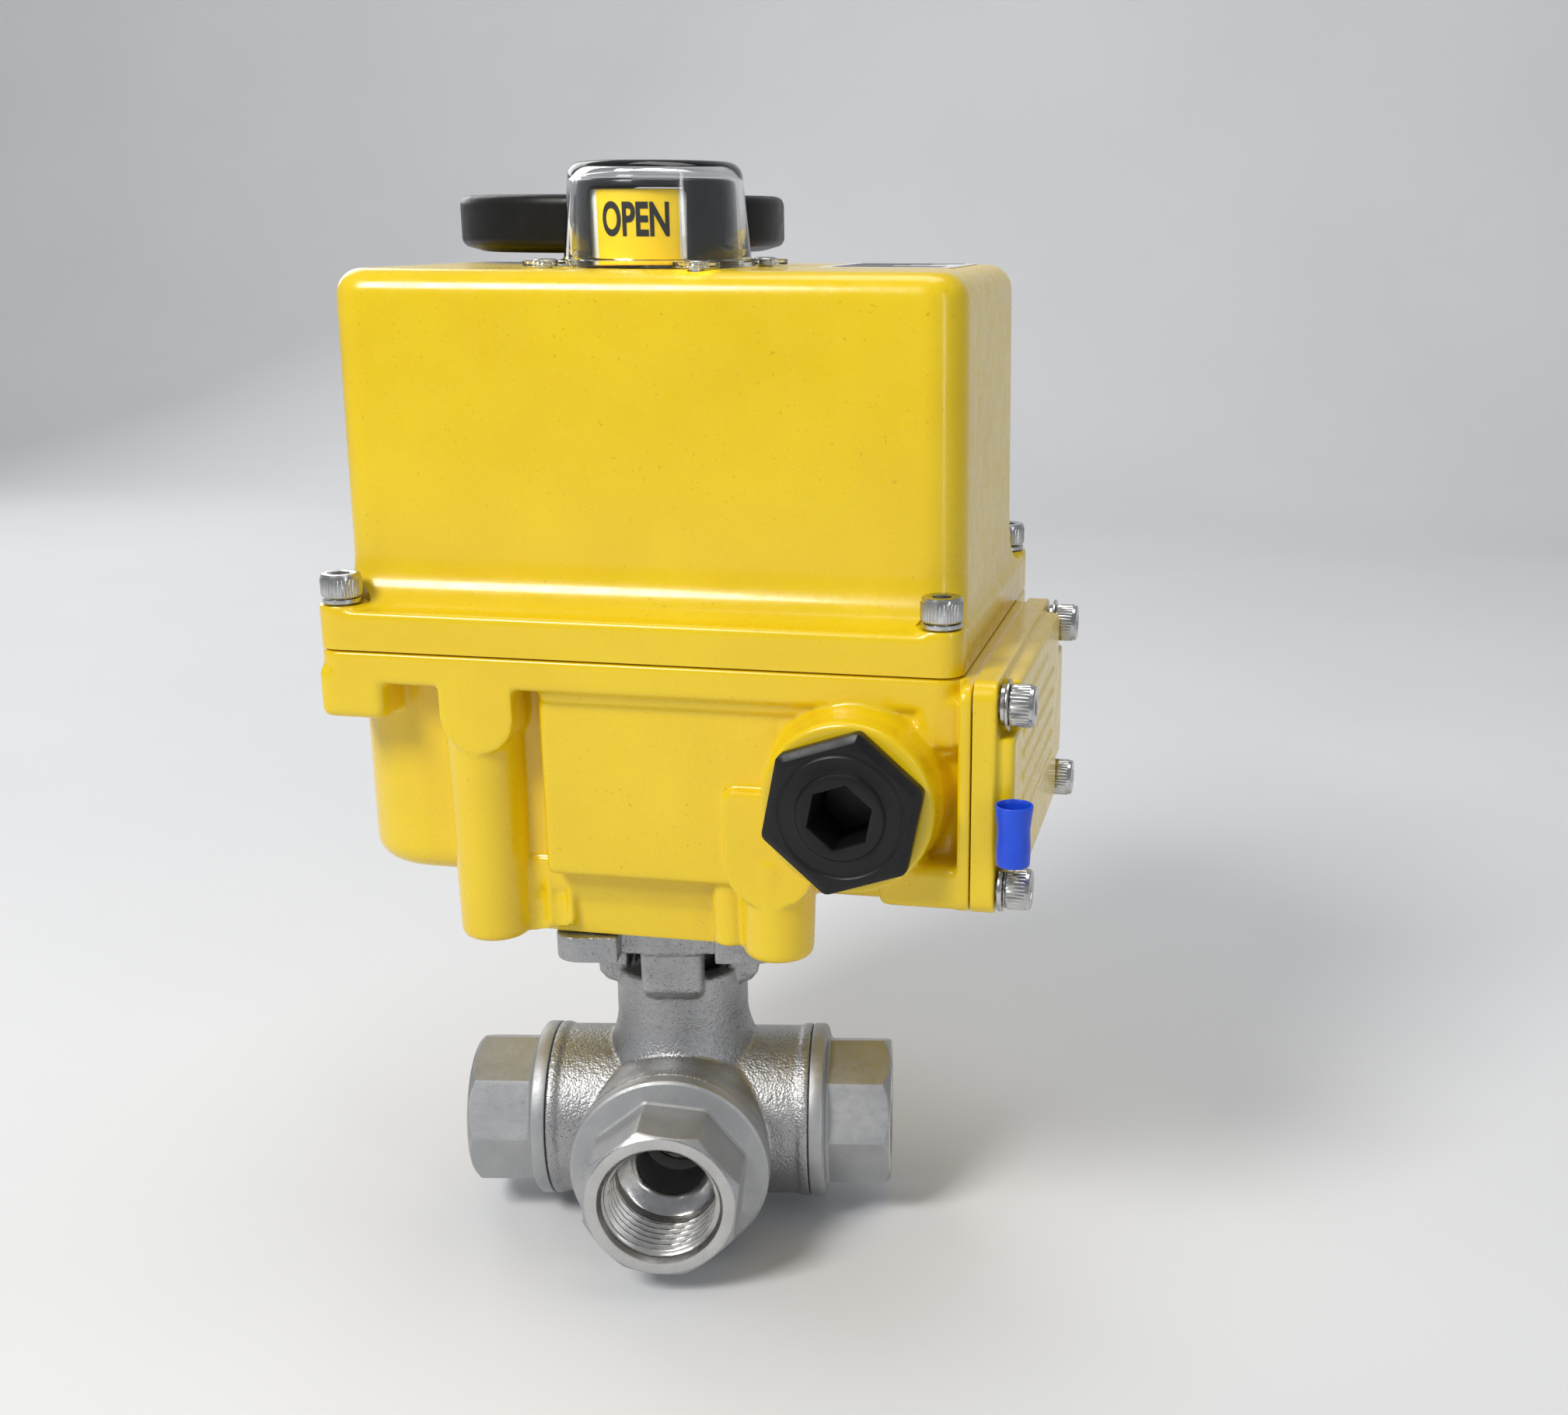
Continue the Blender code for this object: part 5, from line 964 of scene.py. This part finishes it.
def build_valve_body():
    side, front = JOINT - 0.05, FRONT_JOINT - 0.05
    run = turned_mm([(0, -side), (16.55, -side), (16.55, -23.0), (16.15, -22.5), (16.15, 22.5),
                     (16.55, 23.0), (16.55, side), (0, side)], 0.3, 96)
    branch = turned_mm([(0, 0), (16.95, 0), (17.15, 16.0), (18.2, 20.8), (18.25, 21.2), (18.25, front),
                        (0, front)], 0.3, 96)
    back = turned_mm([(0, 0), (15.75, 0), (15.2, 6), (12.4, 11.4), (7, 15), (0, 16.35)], 2.0, 64)
    neck = turned_mm([(0, 2), (14.5, 2), (13.9, 15.5), (12.7, 19.5), (12.4, 21.5), (12.35, 31.65),
                      (0, 31.65)], 0.8, 96)
    parts = [aim(run, (1, 0, 0)), aim(branch, (0, -1, 0)), aim(back, (0, 1, 0)), neck]
    for index in range(4):
        sections = []
        for x, half, z in ((12.4, 4.6, 28.45), (13.7, 5.2, 29.1), (14.95, 5.4, 30.7), (15.45, 5.4, 39.2)):
            loop = [(x - 0.7, -half - 0.15), (x, -half + 0.5), (x, half - 0.5), (x - 0.7, half + 0.15),
                    (9.3, half + 0.15), (9.3, -half - 0.15)]
            sections.append([(px * MM, py * MM, z * MM) for px, py in loop])
        parts.append(turn_z(loft(sections), index * math.pi / 2))
    edge = 20.25 * MM
    pad = loft([rounded_rect(-edge, edge, -edge, edge, 4.5 * MM, z * MM) for z in (38.45, 43.3)])
    notches = [turn_z(block_mm(15.8, 24, -8.7, 8.7, 37, 45), index * math.pi / 2) for index in range(4)]
    parts.append(machined(pad, notches))
    cutters = [
        block_mm(-40, 40, -40, 40, 43.3, 60),
        aim(cylinder(11.7 * MM, -30 * MM, 30 * MM, 72), (1, 0, 0)),
        aim(cylinder(11.9 * MM, 0, 30 * MM, 64), (0, -1, 0)),
        cylinder(4.3 * MM, 5 * MM, 30 * MM, 36),
        cylinder(6.8 * MM, 26 * MM, 32 * MM, 48),
        cylinder(9.0 * MM, 30.6 * MM, 46 * MM, 64),
        aim(block_mm(-30, 30, -30, 30, side, 32), (1, 0, 0)),
        aim(block_mm(-30, 30, -30, 30, side, 32), (-1, 0, 0)),
        aim(block_mm(-30, 30, -20, 30, front, 32), (0, -1, 0)),
    ]
    for index in range(4):
        corner = (PAD_SCREW * (index % 2 * 2 - 1), PAD_SCREW * (index // 2 * 2 - 1))
        cutters.append(cylinder(2.8 * MM, 36 * MM, 46 * MM, 24, corner))
    bm = in_valve(cast_shape(parts, 0.33 * MM, 5, cutters))
    make("valve_casting", bm, CAST, nodes=["valve_body"])


THREAD_PITCH = 1.6 * MM
THREAD_END = 25.9                       # mm from the ball's centre
OCTAGON_FLAT = 13.5 * MM
CAP_FACE_R = 13.2 * MM


def build_end_cap(name, node, direction, joint, reach, collar, turn):
    """Cast cap in mm: spigot, round collar, octagon with a turned face, tapered thread and seat bore."""
    s = 192

    def octagon(grow, z, limit):
        """An octagon whose corners are cut by a cone of the limit radius."""
        points = []
        for i in range(s):
            angle = TAU * i / s
            within = ((angle - turn) % (TAU / 8)) - math.pi / 8
            radius = min(OCTAGON_FLAT + grow * MM, limit * MM * math.cos(within)) / math.cos(within)
            points.append((radius * math.cos(angle), radius * math.sin(angle), z * MM))
        return points

    start = joint + 0.04
    loops = rings_mm(s, (11.25, 13.65), (11.25, start), (collar - 0.4, start), (collar - 0.1, start + 0.12),
                     (collar - 0.03, start + 0.45), (collar - 0.03, start + 2.1), (collar - 0.2, start + 2.5),
                     (collar - 0.7, start + 2.85))
    loops += [octagon(0.9, start + 3.0, 15.6), octagon(0.35, start + 3.15, 15.0),
              octagon(0.0, start + 3.6, 14.55)]
    for step in range(9):
        back = 1.4 * (1 - step / 8)
        loops.append(octagon(0.0, reach - back, CAP_FACE_R / MM + back))
    loops += rings_mm(s, (11.35, reach - 0.02), (11.15, reach - 0.1), (10.66, reach - 1.0))
    first, last = reach - 1.05, THREAD_END
    steps = 150
    for i in range(steps + 1):
        share = i / steps
        z = first + (last - first) * share
        root = 10.64 - 0.5 * share
        fade = min(1.0, share * 9.0, (1.0 - share) * 6.0)
        points = []
        for k in range(s):
            angle = TAU * k / s
            phase = (z * MM / THREAD_PITCH + k / s) % 1.0
            ridge = min(max(1.35 * (1.0 - abs(2.0 * phase - 1.0)) - 0.15, 0.0), 1.0)
            radius = (root - 0.95 * ridge * fade) * MM
            points.append((radius * math.cos(angle), radius * math.sin(angle), z * MM))
        loops.append(points)
    loops += rings_mm(s, (10.5, 25.85), (10.5, 25.1), (10.2, 25.0), (9.6, 24.95), (9.2, 24.6), (7.4, 23.9),
                      (6.7, 23.6), (6.35, 23.2), (6.25, 22.6), (6.25, 13.7))
    bm = in_valve(aim(loft(loops, closed=True), direction))
    make(name, bm, [BLASTED, THREAD, MACHINED, BRIGHT], nodes=[node], sharp=26.0)
    axis = Matrix.Rotation(VALVE_TURN, 3, "Z") @ Vector(direction)
    for polygon in bpy.data.objects[name].data.polygons:
        along = polygon.center.dot(axis) / MM
        radius = (polygon.center / MM - axis * along).length
        if radius < 11.4 and along > 24.97:
            polygon.material_index = 1
        elif radius < 11.0 and along > 20.0:
            polygon.material_index = 3
        elif along > reach - 0.1:
            polygon.material_index = 2


def build_valve_inside():
    profile = ((7.88, 8.2), (7.88, 13.15), (6.25, 13.15), (6.25, 9.55), (7.0, 8.95))
    for side, direction in (("left", (-1, 0, 0)), ("right", (1, 0, 0)), ("front", (0, -1, 0))):
        seat = turned([(r * MM, z * MM) for r, z in profile], 64)
        make(f"seat_{side}", in_valve(aim(seat, direction)), PTFE, nodes=[f"{side}_seat"])
    sphere = bmesh.new()
    bmesh.ops.create_uvsphere(sphere, u_segments=64, v_segments=40, radius=10.98 * MM)
    elbow = bmesh.new()
    bmesh.ops.create_uvsphere(elbow, u_segments=40, v_segments=24, radius=6.8 * MM)
    tools = [aim(cylinder(6.25 * MM, -1.6 * MM, 14 * MM, 48), (0, -1, 0)),
             aim(cylinder(6.25 * MM, -1.9 * MM, 14 * MM, 44), (-1, 0, 0)),
             elbow, block_mm(-2.4, 2.4, -12.3, 12.1, 8.6, 14)]
    steel_piece("ball_polished", in_valve(machined(sphere, tools)), DRIVE, ["ball"], 30.0)
    stem = turned_mm([(0, 11.4), (3.7, 11.4), (4.0, 12), (4.0, 38.2), (0, 38.2)], 0.2, 56)
    square = block_mm(-4.5, 4.5, -4.5, 4.5, 37.0, 54.0, 0.5)
    tang = block_mm(-2.0, 2.0, -3.2, 3.2, 9.0, 13.0, 0.3)
    bm = machined(stem, [square, tang], operation="UNION")
    make("stem_turned", in_valve(bm), MACHINED, DRIVE, ["stem"], 30.0)
    nut = rings_mm(96, (4.35, 31.0), (7.1, 31.0, 7.6), (7.2, 31.5, 8.2), (7.2, 34.2, 8.2), (7.1, 34.7, 7.5),
                   (6.9, 34.75), (6.9, 35.8), (4.35, 35.8))
    steel_piece("gland_nut_hex", in_valve(loft(nut, closed=True)), nodes=["gland_nut"], sharp=26.0)
    for index in range(2):
        low = 36.1 + index * 0.95
        cup = turned_mm([(4.4, low + 0.45), (8.2, low), (8.2, low + 0.4), (4.4, low + 0.85)], 0.1, 72)
        steel_piece(f"disc_spring_{index + 1}", in_valve(cup))
    for index, (u, v) in enumerate(((-1, -1), (-1, 1), (1, -1), (1, 1))):
        number = index + 1
        bolt = screw_head(4.1 * MM, 4.0 * MM, 3.0 * MM, 2.5 * MM, 13 * MM)
        bolt.transform(Matrix.Translation((u * PAD_SCREW, v * PAD_SCREW, 52.6 * MM)))
        steel_piece(f"pad_bolt_{number}", in_valve(bolt), nodes=[f"pad_screw_{number}"], sharp=SHARP_HEAD)


# ---- hidden parts keep their solids and take a finish ------------------------------------------
HIDDEN_LOOKS = {
    "steel": STEEL, "brass": BRASS, "white_plastic": WHITE, "board_green": GREEN, "ptfe": PTFE,
    "seal_rubber": RUBBER, "black_plastic": BLACK, "stainless": BRIGHT, "tinned": FOIL,
    "cast_stainless": CAST, "yellow_paint": YELLOW, "clear_cover": CLEAR, "blue_vinyl": BLUE,
    "indicator_yellow": DRUM_YELLOW,
}


def finish_solids():
    slots = {entry["node"]: entry["material_slot"] for entry in frame["record"]["subparts"]}
    for name, item in frame["nodes"].items():
        look = HIDDEN_LOOKS[slots[name]]
        if not item.data.materials:
            item.data.materials.append(look)
        for slot in item.material_slots:
            slot.material = look


# ---- stage ----------------------------------------------------------------------------------
FLOOR_LEVEL = -18.35 * MM


def build_stage():
    floor = bmesh.new()
    bend, width = 0.35, 3.0
    path = [(-2.0, 0.0), (0.85, 0.0)]
    for i in range(1, 17):
        angle = math.pi / 2 * i / 16
        path.append((0.85 + bend * math.sin(angle), bend * (1 - math.cos(angle))))
    path.append((0.85 + bend, 2.4))
    rows = [[floor.verts.new((x, y, FLOOR_LEVEL + z)) for y, z in path] for x in (-width, width)]
    for i in range(len(path) - 1):
        floor.faces.new((rows[0][i], rows[1][i], rows[1][i + 1], rows[0][i + 1]))
    mesh = bpy.data.meshes.new("studio_floor")
    floor.to_mesh(mesh)
    floor.free()
    mesh.shade_smooth()
    item = bpy.data.objects.new("studio_floor", mesh)
    bpy.context.scene.collection.objects.link(item)
    look = Look("studio_paper")
    look.set("Base Color", look.drift(6.0, (0.74, 0.745, 0.755), (0.77, 0.775, 0.785), 3.0))
    look.set("Roughness", 0.75)
    look.bump(look.noise(900.0, 3.0), 0.10, 0.0001)
    mesh.materials.append(look.material)


def area_light(name, at, target, size, power, colour=(1.0, 1.0, 1.0)):
    data = bpy.data.lights.new(name, "AREA")
    data.shape = "RECTANGLE"
    data.size, data.size_y = size
    data.energy = power
    data.color = colour
    item = bpy.data.objects.new(name, data)
    item.location = at
    item.rotation_euler = (Vector(target) - Vector(at)).to_track_quat("-Z", "Y").to_euler()
    bpy.context.scene.collection.objects.link(item)


def build_lights():
    middle = (0.0, 0.0, 0.08)
    area_light("key", (-0.48, -0.78, 0.94), middle, (0.40, 0.40), 11.0, (1.0, 0.985, 0.96))
    area_light("strip", (0.80, -0.62, 0.22), middle, (0.07, 0.80), 1.1, (0.94, 0.97, 1.0))
    area_light("top", (0.05, 0.15, 1.15), middle, (0.7, 0.5), 3.2)
    area_light("rim", (-0.7, 0.75, 0.55), middle, (0.5, 0.6), 2.2)
    world = bpy.data.worlds.new("studio")
    world.use_nodes = True
    background = world.node_tree.nodes["Background"]
    background.inputs["Color"].default_value = (0.86, 0.89, 0.94, 1.0)
    background.inputs["Strength"].default_value = 0.34
    bpy.context.scene.world = world


CAMERA_AT = Vector((102.607 * MM, -313.157 * MM, 165.755 * MM))
CAMERA_YAW, CAMERA_PITCH, CAMERA_ROLL = 0.194874, 0.294129, 0.001357
CAMERA_LENS = 42.37
CAMERA_SHIFT = (-0.0690, 0.0469)


def build_camera():
    bpy.context.scene.view_settings.view_transform = "Standard"
    data = bpy.data.cameras.new("camera")
    data.lens = CAMERA_LENS
    data.sensor_width = 36.0
    data.sensor_fit = "HORIZONTAL"
    data.shift_x, data.shift_y = CAMERA_SHIFT
    data.clip_start = 0.01
    data.clip_end = 20.0
    item = bpy.data.objects.new("camera", data)
    level, drop = math.cos(CAMERA_PITCH), math.sin(CAMERA_PITCH)
    forward = Vector((-math.sin(CAMERA_YAW) * level, math.cos(CAMERA_YAW) * level, -drop))
    right = Vector((math.cos(CAMERA_YAW), math.sin(CAMERA_YAW), 0.0))
    up = right.cross(forward)
    tilt, sway = math.cos(CAMERA_ROLL), math.sin(CAMERA_ROLL)
    right, up = right * tilt + up * sway, up * tilt - right * sway
    axes = Matrix((right, up, -forward)).transposed().to_4x4()
    item.matrix_world = Matrix.Translation(CAMERA_AT) @ axes
    bpy.context.scene.collection.objects.link(item)
    bpy.context.scene.camera = item


def write_sizes():
    import json


finish_solids()
build_base()
build_cover()
build_terminal_cover()
build_screws()
build_plug()
build_ground()
build_labels()
build_dome()
build_shroud()
build_drum()
build_wheel()
build_valve_body()
build_end_cap("cap_left", "left_end_cap", (-1, 0, 0), JOINT, 40.0, 16.6, 0.0)
build_end_cap("cap_right", "right_end_cap", (1, 0, 0), JOINT, 40.0, 16.6, 0.0)
build_end_cap("cap_front", "front_end_cap", (0, -1, 0), FRONT_JOINT, 38.5, 18.3, math.radians(15.5))
build_valve_inside()
build_stage()
build_lights()
build_camera()
write_sizes()
